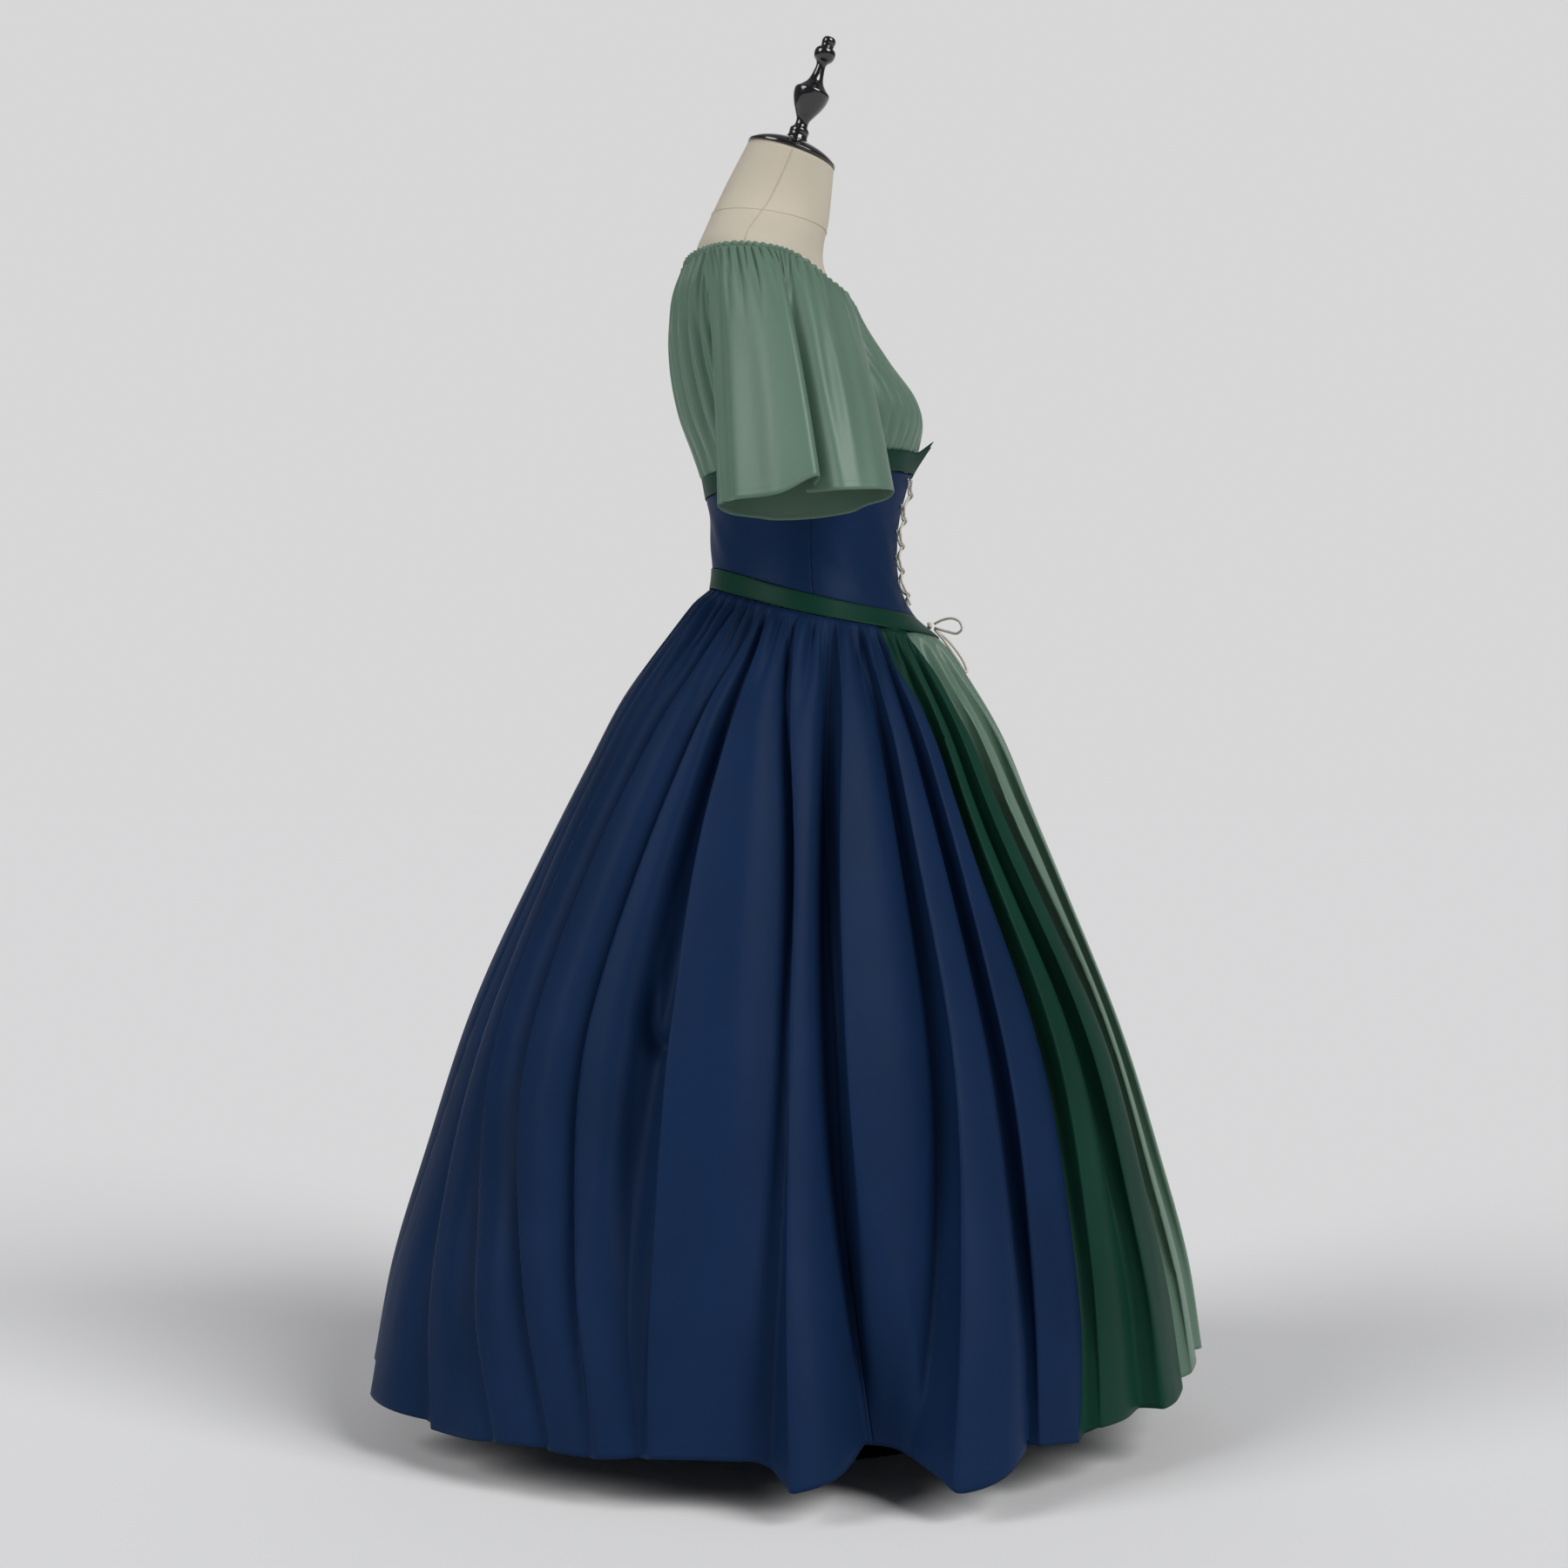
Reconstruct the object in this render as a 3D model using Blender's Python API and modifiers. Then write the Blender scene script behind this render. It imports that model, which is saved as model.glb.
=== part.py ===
"""Medieval gown on a limbless dress form.

Metres, +Z up. The floor is z = 0 and the origin is the middle of the base's underside.
The gown faces -Y and the wearer's right side is -X. A turn round the gown is in degrees:
0 at the centre back, 90 at the wearer's right, 180 at the centre front and -90 at the left.
A fall down the skirt or a sleeve is 0 at its seam and 1 at its hem.
"""

import math
from typing import NamedTuple

import bmesh
import bpy
import numpy as np

# Driving sizes
CLOTH_WALL = 0.0015
SEAM_GAP = 0.0005
WAIST_SEAM = 0.0011
BODY_EASE = 0.0022
CORD_RADIUS = 0.0015
PANEL_DEPTH = 0.0044
BLOUSE_TUCK = 0.0032

NECK_HALF_WIDTH = 0.172
NECK_BACK = 0.130
NECK_FRONT = -0.060
NECK_CASING_HALF_HEIGHT = 0.0045
NECK_CASING_HALF_WALL = 0.002

WAIST_BAND_HEIGHT = 0.0225
UNDERBUST_BAND_HEIGHT = 0.0225
BAND_LIFT = 0.0012
CORSET_SIDE_SEAM = 93.0
CORSET_FRONT_EDGE = 171.0
CORSET_SEAM_STEP = 0.3
CORNER_RISE = 0.014
CORNER_FLARE = 0.011
BUST_FULLNESS = 0.009
LACING_PANEL_HALF_TURN = 19.0
LACING_PANEL_WALL = 0.0012
LACING_PANEL_GAP = 0.002

HEM_BACK = 0.490
HEM_FRONT = -0.474
HEM_HALF_WIDTH = 0.405
HEM_HEIGHT = 0.031
HEM_WAVE = 0.005
HEM_BACK_RISE = 0.012
HEM_INSET_RISE = 0.026
HEM_FRONT_RISE = 0.018
PLEAT_EDGE = 0.0004
INSET_TUCK = 1.6
INSET_DROP = 0.0048

UNDERARM_TURN = 92.0
RAGLAN_BACK_TURN = 50.0
RAGLAN_FRONT_TURN = 150.0
UNDERARM_HEIGHT = 1.178

NECK_TILT = math.radians(18.3)
NECK_TOP = (0.0, 0.007, 1.4503)
FORM_BOTTOM = 0.700
BASE_RADIUS = 0.190
BASE_HEIGHT = 0.018
POLE_RADIUS = 0.015


class BodySection(NamedTuple):
    """Level section of the bodice's outer face."""
    height: float
    half_width: float
    back: float
    front: float


BODICE = (
    BodySection(0.885, 0.155, 0.122, -0.172),
    BodySection(0.897, 0.149, 0.117, -0.162),
    BodySection(0.915, 0.140, 0.110, -0.141),
    BodySection(0.935, 0.130, 0.104, -0.127),
    BodySection(0.965, 0.121, 0.098, -0.117),
    BodySection(1.000, 0.118, 0.098, -0.1155),
    BodySection(1.030, 0.120, 0.100, -0.118),
    BodySection(1.060, 0.125, 0.105, -0.125),
    BodySection(1.085, 0.130, 0.110, -0.131),
    BodySection(1.110, 0.137, 0.118, -0.138),
    BodySection(1.140, 0.145, 0.129, -0.142),
    BodySection(1.170, 0.152, 0.136, -0.134),
    BodySection(1.210, 0.160, 0.142, -0.106),
    BodySection(1.250, 0.168, 0.144, -0.080),
    BodySection(1.290, 0.172, 0.139, -0.062),
    BodySection(1.315, 0.170, 0.130, -0.058),
)


class FormSection(NamedTuple):
    """Section of the dress form, tilted from its back height to its front height."""
    back: float
    back_height: float
    front: float
    front_height: float
    half_width: float


FORM = (
    FormSection(0.056, 1.466, -0.042, 1.434, 0.051),
    FormSection(0.078, 1.424, -0.039, 1.400, 0.053),
    FormSection(0.092, 1.395, -0.036, 1.374, 0.062),
    FormSection(0.101, 1.375, -0.032, 1.356, 0.082),
    FormSection(0.108, 1.358, -0.030, 1.342, 0.108),
    FormSection(0.115, 1.341, -0.030, 1.327, 0.135),
    FormSection(0.120, 1.320, -0.035, 1.308, 0.154),
    FormSection(0.125, 1.290, -0.048, 1.280, 0.160),
    FormSection(0.131, 1.240, -0.071, 1.240, 0.157),
    FormSection(0.127, 1.190, -0.101, 1.190, 0.149),
    FormSection(0.117, 1.145, -0.126, 1.145, 0.138),
    FormSection(0.103, 1.095, -0.121, 1.095, 0.124),
    FormSection(0.092, 1.030, -0.108, 1.030, 0.111),
    FormSection(0.090, 0.975, -0.105, 0.975, 0.110),
    FormSection(0.097, 0.925, -0.118, 0.925, 0.124),
    FormSection(0.112, 0.860, -0.121, 0.860, 0.146),
    FormSection(0.116, 0.780, -0.114, 0.780, 0.163),
    FormSection(0.105, 0.718, -0.100, 0.718, 0.150),
    FormSection(0.088, FORM_BOTTOM, -0.084, FORM_BOTTOM, 0.130),
)


class Pleat(NamedTuple):
    """Round fold of the skirt: its turn, its depth in mm and its half width in degrees."""
    waist_turn: float
    quarter_turn: float
    half_turn: float
    hem_turn: float
    waist_mm: float
    quarter_mm: float
    half_mm: float
    hem_mm: float
    waist_spread: float
    hem_spread: float


FALL_ROWS = (0.0, 0.25, 0.5, 1.0)

PLEATS = (
    Pleat(5, 5, 6, 9, 3, 6, 9, 19, 6, 11),
    Pleat(14, 11, 12, 16, 3, 4, 3, 0, 5, 7),
    Pleat(24, 18, 18, 20, 3, 5, 6, 8, 5, 8),
    Pleat(33, 25, 24, 25, 3, 4, 2, 0, 5, 6),
    Pleat(42, 31, 30, 31, 3, 7, 10, 19, 5, 10),
    Pleat(52, 43, 40, 43, 3, 8, 12, 10, 6, 12),
    Pleat(63, 55, 52, 53, 3, 9, 10, 8, 6, 11),
    Pleat(71, 69, 69, 68, 4, 12, 13, 13, 6, 14),
    Pleat(79, 79, 79, 80, 3, 9, 12, 22, 5, 13),
    Pleat(87, 89, 88, 90, 3, 9, 12, 52, 5, 9),
    Pleat(102, 101, 103, 106, 4, 10, 10, 0, 5, 6),
    Pleat(111, 114, 117, 112, 3, 9, 15, 66, 5, 10),
    Pleat(119, 124, 127, 126, 3, 8, 9, 14, 5, 10),
    Pleat(126, 135, 143, 144, 3, 7, 8, 12, 5, 9),
    Pleat(132, 144, 151, 155, 3, 7, 10, 17, 5, 9),
    Pleat(141, 152, 160, 165, 3, 6, 7, 10, 5, 8),
    Pleat(152, 162, 168, 173, 3, 6, 8, 15, 6, 8),
    Pleat(164, 171, 175, 178, 3, 5, 4, 6, 6, 6),
    Pleat(175, 178, 180, 183, 3, 6, 8, 17, 6, 7),
)

TROUGHS = (
    Pleat(66, 63, 61, 66, 1, 6, 7, 0, 3, 6),
    Pleat(98, 95.5, 97, 101, 1, 5, 9, 50, 3, 10),
    Pleat(0, 0, 0, 0, 0, 1, 2, 6, 3, 6),
    Pleat(180, 180, 180, 180, 0, 6, 9, 2, 8, 12),
)

CREST_MM = (2.0, 6.0, 9.0, 17.0)
FULLNESS = 1.3


class Spread(NamedTuple):
    """Share of the skirt's spread that is reached at a share of its fall."""
    fall: float
    share: float


SPREAD = (
    Spread(0.00, 0.00),
    Spread(0.04, 0.09),
    Spread(0.13, 0.24),
    Spread(0.23, 0.37),
    Spread(0.38, 0.55),
    Spread(0.54, 0.71),
    Spread(0.73, 0.86),
    Spread(0.88, 0.96),
    Spread(1.00, 1.00),
)


class SeamTurn(NamedTuple):
    """Turns of the skirt's seams at a fall: side seam, navy edge and dark green edge."""
    fall: float
    side: float
    navy: float
    green: float


SKIRT_SEAMS = (
    SeamTurn(0.00, 98, 120, 136),
    SeamTurn(0.10, 96.5, 126, 142),
    SeamTurn(0.20, 95.5, 130, 147),
    SeamTurn(0.35, 96, 134.5, 156),
    SeamTurn(0.50, 97, 136, 160),
    SeamTurn(0.75, 98.5, 135.5, 162),
    SeamTurn(1.00, 101, 130, 162),
)


class SleeveFold(NamedTuple):
    """Hollow down a sleeve: its turn round the sleeve, depths in mm and half width."""
    turn: float
    quarter_mm: float
    half_mm: float
    hem_mm: float
    spread: float


SLEEVE_FOLDS = (
    SleeveFold(-4, 12, 20, 30, 13),
    SleeveFold(-38, 5, 5, 2, 16),
    SleeveFold(34, 2, 4, 6, 18),
    SleeveFold(78, 4, 6, 7, 14),
    SleeveFold(-130, 2, 5, 9, 20),
    SleeveFold(140, 2, 5, 9, 20),
)

SLEEVE_HEM_MIDDLE = (-0.2255, -0.008, 1.034)
SLEEVE_HEM_HALF_WIDTH = 0.0695
SLEEVE_HEM_HALF_DEPTH = 0.093
SLEEVE_HEM_OUTER_RISE = 0.016
SLEEVE_HEM_BACK_DROP = 0.007
SLEEVE_CORNER = 70.0
SLEEVE_SWELL = 0.010
SLEEVE_BUNCHING = 26.0
LEFT_SLEEVE_NUDGE = 5.0


class Turned(NamedTuple):
    """Point of a turned outline: its radius and its height along the neck's axis."""
    radius: float
    height: float


NECK_CAP = (
    Turned(0.000, 0.0195),
    Turned(0.0145, 0.0192),
    Turned(0.026, 0.0165),
    Turned(0.038, 0.0125),
    Turned(0.048, 0.0075),
    Turned(0.0525, 0.0035),
    Turned(0.0525, 0.0004),
    Turned(0.000, 0.0004),
)

FINIAL = (
    Turned(0.000, 0.1440),
    Turned(0.0062, 0.1430),
    Turned(0.0078, 0.1400),
    Turned(0.0078, 0.1315),
    Turned(0.0112, 0.1285),
    Turned(0.0124, 0.1235),
    Turned(0.0108, 0.1175),
    Turned(0.0066, 0.1130),
    Turned(0.0066, 0.1000),
    Turned(0.0095, 0.0900),
    Turned(0.0165, 0.0820),
    Turned(0.0205, 0.0780),
    Turned(0.0205, 0.0720),
    Turned(0.0170, 0.0610),
    Turned(0.0110, 0.0500),
    Turned(0.0076, 0.0430),
    Turned(0.0080, 0.0360),
    Turned(0.0112, 0.0320),
    Turned(0.0112, 0.0250),
    Turned(0.0130, 0.0198),
    Turned(0.0000, 0.0198),
)

BASE = (
    Turned(0.000, 0.030),
    Turned(0.024, 0.030),
    Turned(0.030, 0.020),
    Turned(0.150, BASE_HEIGHT - 0.003),
    Turned(BASE_RADIUS - 0.008, 0.011),
    Turned(BASE_RADIUS, 0.005),
    Turned(BASE_RADIUS - 0.002, 0.000),
    Turned(0.000, 0.000),
)

# Eyelet heights, and the routes of the bow's cord
LACE_ROWS = (1.075, 1.046, 1.017, 0.988, 0.960, 0.934)
EYELET_INSET = 4.5
LACE_LIFT = 0.0040
LACE_UNDER = 0.0042
LACE_OVER = 0.0070
KNOT = (0.0, -0.1520, 0.912)
KNOT_RADIUS = 0.0048

UPPER_LOOP = (
    (-0.0045, -0.1575, 0.9135),
    (-0.0090, -0.1660, 0.9175),
    (-0.0150, -0.1780, 0.9190),
    (-0.0200, -0.1860, 0.9140),
    (-0.0200, -0.1880, 0.9070),
    (-0.0160, -0.1830, 0.9020),
    (-0.0110, -0.1730, 0.9040),
    (-0.0060, -0.1620, 0.9075),
    (-0.0030, -0.1580, 0.9090),
)

LOWER_LOOP = (
    (0.0045, -0.1580, 0.9080),
    (0.0095, -0.1690, 0.9000),
    (0.0150, -0.1830, 0.8850),
    (0.0200, -0.1940, 0.8680),
    (0.0190, -0.1965, 0.8600),
    (0.0140, -0.1950, 0.8590),
    (0.0090, -0.1870, 0.8700),
    (0.0050, -0.1740, 0.8880),
    (0.0020, -0.1630, 0.9020),
    (0.0010, -0.1590, 0.9060),
)


def through(knots, values, at):
    """Smooth curve through values at rising knots, level beyond the ends."""
    knots = np.asarray(knots, dtype=float)
    values = np.asarray(values, dtype=float)
    at = np.clip(at, knots[0], knots[-1])
    slopes = np.gradient(values, knots)
    index = np.clip(np.searchsorted(knots, at, side="right") - 1, 0, len(knots) - 2)
    span = knots[index + 1] - knots[index]
    s = (at - knots[index]) / span
    start = values[index] * (1 + 2 * s) * (1 - s) ** 2
    end = values[index + 1] * s * s * (3 - 2 * s)
    leave = slopes[index] * span * s * (1 - s) ** 2
    reach = slopes[index + 1] * span * s * s * (s - 1)
    return start + end + leave + reach


def column(rows, name):
    """One named column of a table, as a list."""
    return [getattr(row, name) for row in rows]


def ramp(value, low, high):
    """0 below low, 1 above high and a soft rise between them."""
    s = np.clip((value - low) / (high - low), 0.0, 1.0)
    return s * s * (3 - 2 * s)


def half_turns(turn):
    """The same turns, kept between -180 and 180."""
    return np.where(turn > 180, turn - 360, turn)


# Bodice
def body(turn, height, out=0.0):
    """Points on the bodice's outer face, moved out of it."""
    heights = column(BODICE, "height")
    half_width = through(heights, column(BODICE, "half_width"), height)
    back = through(heights, column(BODICE, "back"), height)
    front = through(heights, column(BODICE, "front"), height)
    half_depth = (back - front) / 2
    angle = np.radians(turn)
    across = -np.sin(angle)
    along = np.cos(angle)
    normal = np.hypot(across / half_width, along / half_depth)
    cup = ((np.abs(turn) - 146) / 20) ** 2 + ((height - 1.145) / 0.034) ** 2
    lift = (out + BUST_FULLNESS * np.exp(-cup)) / normal
    x = across * (half_width + lift / half_width)
    y = (back + front) / 2 + along * (half_depth + lift / half_depth)
    return np.column_stack((x, y, np.broadcast_to(height, np.shape(turn))))


def waist_low(turn):
    """Height of the waist band's lower edge."""
    angle = np.radians(turn)
    return 0.9255 + 0.0285 * np.cos(angle) - 0.0085 * np.sin(angle) ** 2


def waist_high(turn):
    """Height of the waist band's upper edge, which falls to a point at centre front."""
    point = ramp(np.abs(turn), 160, 180)
    return waist_low(turn) + WAIST_BAND_HEIGHT * (1 - 0.7 * point)


def front_corner(turn, low=156.0):
    """0 round the bodice, rising to 1 at its laced front edges."""
    return np.clip((np.abs(turn) - low) / (CORSET_FRONT_EDGE - low), 0.0, 1.0) ** 2


def underbust_low(turn):
    """Height of the underbust band's lower edge."""
    return 1.0695 - 0.0135 * np.cos(np.radians(turn))


def underbust_high(turn):
    """Height of the underbust band's upper edge, which rises to its front corners."""
    rise = CORNER_RISE * front_corner(turn, 163.0)
    return underbust_low(turn) + UNDERBUST_BAND_HEIGHT + rise


def blouse_low(turn):
    """Height of the blouse's lower edge, tucked behind the underbust band."""
    return underbust_low(turn) + UNDERBUST_BAND_HEIGHT - BLOUSE_TUCK


def corner_flare(turn, height):
    """How far the top front corners of the corset stand forward."""
    reach = np.clip((height - 1.055) / 0.055, 0.0, 1.4) ** 2
    return CORNER_FLARE * front_corner(turn) * reach


def neck_height(turn):
    """Height of the neckline's middle."""
    angle = np.radians(turn)
    return 1.3035 + 0.0155 * np.cos(angle) + 0.008 * np.sin(angle) ** 2


def gathers(turn, spacing, depth, drift):
    """Round gathers with sharp hollows, uneven in spacing and depth."""
    phase = turn / spacing + 0.22 * np.sin(np.radians(turn * 5.3 + drift))
    uneven = 0.75 + 0.25 * np.sin(np.radians(turn * 3.1 + 2 * drift))
    return depth * uneven * (np.abs(np.cos(math.pi * phase)) - 0.7)


def blouse_top(turn):
    """Upper edge of the blouse's body: the neckline, scooped under each sleeve."""
    side = np.abs(turn)
    reach = np.where(side < UNDERARM_TURN, UNDERARM_TURN - RAGLAN_BACK_TURN,
                     RAGLAN_FRONT_TURN - UNDERARM_TURN)
    share = np.clip(np.abs(side - UNDERARM_TURN) / reach, 0.0, 1.0) ** 2.4
    neck = neck_height(turn) - NECK_CASING_HALF_HEIGHT - SEAM_GAP
    return UNDERARM_HEIGHT + (neck - UNDERARM_HEIGHT) * share


def blouse(turn, rise):
    """Points of the blouse's body between the underbust band and its upper edge."""
    low = blouse_low(turn)
    height = low + (blouse_top(turn) - low) * rise
    tuck = -BLOUSE_TUCK * (1 - ramp(height - low, 0.0, 2.5 * BLOUSE_TUCK))
    side = np.abs(turn)
    back_gathers = gathers(turn, 11.0, 0.0055, 40) * ramp(-side, -88, -66)
    front_gathers = gathers(turn, 10.0, 0.0030, 10) * ramp(side, 100, 125)
    settle = 0.35 + 0.65 * np.sin(math.pi * np.clip(rise, 0.03, 0.97))
    return body(turn, height, tuck + (back_gathers + front_gathers) * settle)


# Sleeves
def hollow(turn, middle, spread):
    """Soft hollow of depth 1 at its middle that ends at its spread."""
    away = (turn - middle) / spread
    return np.clip(1 - away * away, 0.0, 1.0) ** 2


def sleeve_top(turn):
    """Seam round the sleeve's top: the neckline, then the raglan lines to the underarm."""
    side = np.abs(turn)
    reach = np.where(turn > 0, RAGLAN_BACK_TURN, RAGLAN_FRONT_TURN)
    on_neck = np.clip(side / SLEEVE_CORNER, 0.0, 1.0)
    on_raglan = np.clip((side - SLEEVE_CORNER) / (180 - SLEEVE_CORNER), 0.0, 1.0)
    neck_turn = UNDERARM_TURN + (reach - UNDERARM_TURN) * on_neck
    body_turn = neck_turn + (UNDERARM_TURN - neck_turn) * on_raglan
    height = np.where(side < SLEEVE_CORNER, neck_height(body_turn) - 0.0055,
                      blouse_top(body_turn) - 0.0035)
    return body(body_turn, height, BODY_EASE + 0.0006)


def sleeve(turn, fall, folds):
    """Points of the right sleeve; a turn round it is 0 outside and 90 at the back."""
    angle = np.radians(turn)
    out = np.column_stack((-np.cos(angle), np.sin(angle), np.zeros_like(angle)))
    middle = np.array(SLEEVE_HEM_MIDDLE)
    hem = middle + out * (SLEEVE_HEM_HALF_WIDTH, SLEEVE_HEM_HALF_DEPTH, 0)
    hem[:, 2] += SLEEVE_HEM_OUTER_RISE * np.cos(angle) - SLEEVE_HEM_BACK_DROP * np.sin(angle)
    top = sleeve_top(turn)
    level = fall[:, None]
    share = np.hstack((level ** 0.85, level ** 0.85, level ** 1.12))
    place = top + (hem - top) * share
    outer = np.clip(np.cos(angle), 0.0, 1.0)
    place[:, 0] -= SLEEVE_SWELL * outer * np.sin(math.pi * fall)
    depth = np.zeros_like(fall)
    for fold in folds:
        depths = (0.0, fold.quarter_mm, fold.half_mm, fold.hem_mm)
        depth += through(FALL_ROWS, depths, fall) * hollow(turn, fold.turn, fold.spread)
    return place - out * (depth / 1000)[:, None]


# Skirt
def fold_depth(turn, fall, pleat, side):
    """Turn, depth in metres and half width of one fold at a fall, on one side."""
    drift = 0.0 if side > 0 else 2.2 * math.sin(pleat.waist_turn * 0.21)
    swell = 1.0 if side > 0 else 1.0 + 0.16 * math.sin(pleat.waist_turn * 0.37)
    turns = (pleat.waist_turn, pleat.quarter_turn, pleat.half_turn, pleat.hem_turn)
    depths = (pleat.waist_mm, pleat.quarter_mm, pleat.half_mm, pleat.hem_mm)
    centre = side * (through(FALL_ROWS, turns, fall) + drift * fall)
    depth = np.maximum(through(FALL_ROWS, depths, fall), 0.0) * swell / 1000
    spread = pleat.waist_spread + (pleat.hem_spread - pleat.waist_spread) * fall
    away = (turn - centre + 180) % 360 - 180
    return away, depth, spread


def skirt_folds(turn, fall):
    """How far the skirt's folds stand out of its plain form."""
    relief = np.zeros_like(fall)
    cut = np.zeros_like(fall)
    for side in (1, -1):
        for pleat in PLEATS:
            away, depth, spread = fold_depth(turn, fall, pleat, side)
            dome = depth * np.clip(1 - (away / spread) ** 2, 0.0, 1.0)
            relief = np.maximum(relief, dome)
        for trough in TROUGHS:
            away, depth, spread = fold_depth(turn, fall, trough, side)
            cut = np.maximum(cut, depth * hollow(away, 0.0, spread))
    crest = through(FALL_ROWS, CREST_MM, fall) / 1000
    return FULLNESS * (relief - crest) - cut


def hem_height(turn):
    """Height of the hem, which rises at the centre back and over the front panels."""
    side = np.abs(turn)
    wave = HEM_WAVE * np.cos(np.radians(3 * turn + 60))
    back = HEM_BACK_RISE * ramp(-side, -14, 0)
    front = HEM_INSET_RISE * ramp(side, 130, 137) + HEM_FRONT_RISE * ramp(side, 150, 180)
    return HEM_HEIGHT + wave + back + front


def skirt(turn, fall):
    """Points on the skirt, from the waist band's lower edge to the hem."""
    angle = np.radians(turn)
    low = waist_low(turn) - WAIST_SEAM
    waist = body(turn, low, out=-PLEAT_EDGE)
    across = -np.sin(angle)
    along = np.cos(angle)
    hem_x = across * HEM_HALF_WIDTH
    hem_y = (HEM_BACK + HEM_FRONT) / 2 + along * (HEM_BACK - HEM_FRONT) / 2
    share = through(column(SPREAD, "fall"), column(SPREAD, "share"), fall)
    settle = ramp(fall, -0.02, 0.05)
    offset = skirt_folds(turn, fall) * settle
    x = waist[:, 0] + (hem_x - waist[:, 0]) * share + across * offset
    y = waist[:, 1] + (hem_y - waist[:, 1]) * share + along * offset
    z = low + (hem_height(half_turns(turn)) - low) * fall
    return np.column_stack((x, y, z))


def skirt_under(turn, fall, depth):
    """Points of the skirt moved in by a depth, along the slope read over a small step."""
    step = 0.4
    drop = 0.004
    round_way = skirt(turn + step, fall) - skirt(turn - step, fall)
    down_way = skirt(turn, fall + drop) - skirt(turn, fall - drop)
    normal = np.cross(down_way, round_way)
    normal /= np.linalg.norm(normal, axis=1)[:, None]
    return skirt(turn, fall) - normal * depth[:, None]


def seam_turn(name, fall):
    """Turn of one skirt seam at a fall."""
    return through(column(SKIRT_SEAMS, "fall"), column(SKIRT_SEAMS, name), fall)


# Making of objects
def material(name, colour, roughness, metallic=0.0):
    """Principled material from an sRGB colour."""
    made = bpy.data.materials.new(name)
    made.use_nodes = True
    shader = made.node_tree.nodes["Principled BSDF"]
    linear = [((part + 0.055) / 1.055) ** 2.4 for part in colour]
    shader.inputs["Base Color"].default_value = (*linear, 1.0)
    shader.inputs["Roughness"].default_value = roughness
    shader.inputs["Metallic"].default_value = metallic
    return made


def collection(name):
    """New collection in the scene."""
    made = bpy.data.collections.new(name)
    bpy.context.scene.collection.children.link(made)
    return made


def add_object(name, data, finish, parts):
    """Object in the part's collection, with its own copy of a finish."""
    own = finish.copy()
    own.name = name + "_finish"
    data.materials.append(own)
    made = bpy.data.objects.new(name, data)
    parts.objects.link(made)
    return made


def grid_mesh(name, surface, columns, rows, joined=False, closed=False):
    """Grid whose points are placed by surface(across, up), each running from 0 to 1.

    Edges that meet are joined where asked, and a closed grid has its ends filled too.
    """
    grid = bmesh.new()
    bmesh.ops.create_grid(grid, x_segments=columns, y_segments=rows, size=0.5)
    across = np.array([vertex.co.x + 0.5 for vertex in grid.verts])
    up = np.array([vertex.co.y + 0.5 for vertex in grid.verts])
    for vertex, place in zip(grid.verts, surface(across, up)):
        vertex.co = place
    if joined or closed:
        bmesh.ops.remove_doubles(grid, verts=grid.verts, dist=0.00002)
    if closed:
        rims = [edge for edge in grid.edges if edge.is_boundary]
        bmesh.ops.holes_fill(grid, edges=rims, sides=0)
        bmesh.ops.recalc_face_normals(grid, faces=grid.faces)
    for face in grid.faces:
        face.smooth = True
    mesh = bpy.data.meshes.new(name)
    grid.to_mesh(mesh)
    grid.free()
    return mesh


def cloth(name, surface, columns, rows, finish, parts, wall=CLOTH_WALL, joined=False):
    """Cloth wall: an open grid with Solidify on the side away from its normals."""
    made = add_object(name, grid_mesh(name, surface, columns, rows, joined), finish, parts)
    shell = made.modifiers.new("wall", "SOLIDIFY")
    shell.thickness = wall
    shell.offset = -1.0
    return made


def turned(name, outline, steps, finish, parts, place=(0, 0, 0), tilt=0.0):
    """Turned solid from an outline that runs from its top to its bottom."""
    mesh = bpy.data.meshes.new(name)
    points = [(row.radius, 0.0, row.height) for row in outline]
    edges = [(index, index + 1) for index in range(len(points) - 1)]
    mesh.from_pydata(points, edges, [])
    made = add_object(name, mesh, finish, parts)
    made.location = place
    made.rotation_euler = (tilt, 0.0, 0.0)
    lathe = made.modifiers.new("lathe", "SCREW")
    lathe.axis = "Z"
    lathe.steps = steps
    lathe.render_steps = steps
    lathe.use_merge_vertices = True
    lathe.merge_threshold = 0.00002
    return made


def cord(name, points, radius, finish, parts):
    """Round cord along a route."""
    curve = bpy.data.curves.new(name, "CURVE")
    curve.dimensions = "3D"
    curve.bevel_depth = radius
    curve.bevel_resolution = 2
    curve.use_fill_caps = True
    line = curve.splines.new("POLY")
    line.points.add(len(points) - 1)
    for point, place in zip(line.points, points):
        point.co = (*place, 1.0)
    return add_object(name, curve, finish, parts)


def route(points, count):
    """Evenly spread points on the smooth curve through a route's own points."""
    points = np.array(points)
    steps = np.linalg.norm(np.diff(points, axis=0), axis=1)
    knots = np.concatenate(([0.0], np.cumsum(steps)))
    at = np.linspace(0.0, knots[-1], count)
    return np.column_stack([through(knots, points[:, axis], at) for axis in range(3)])


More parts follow.
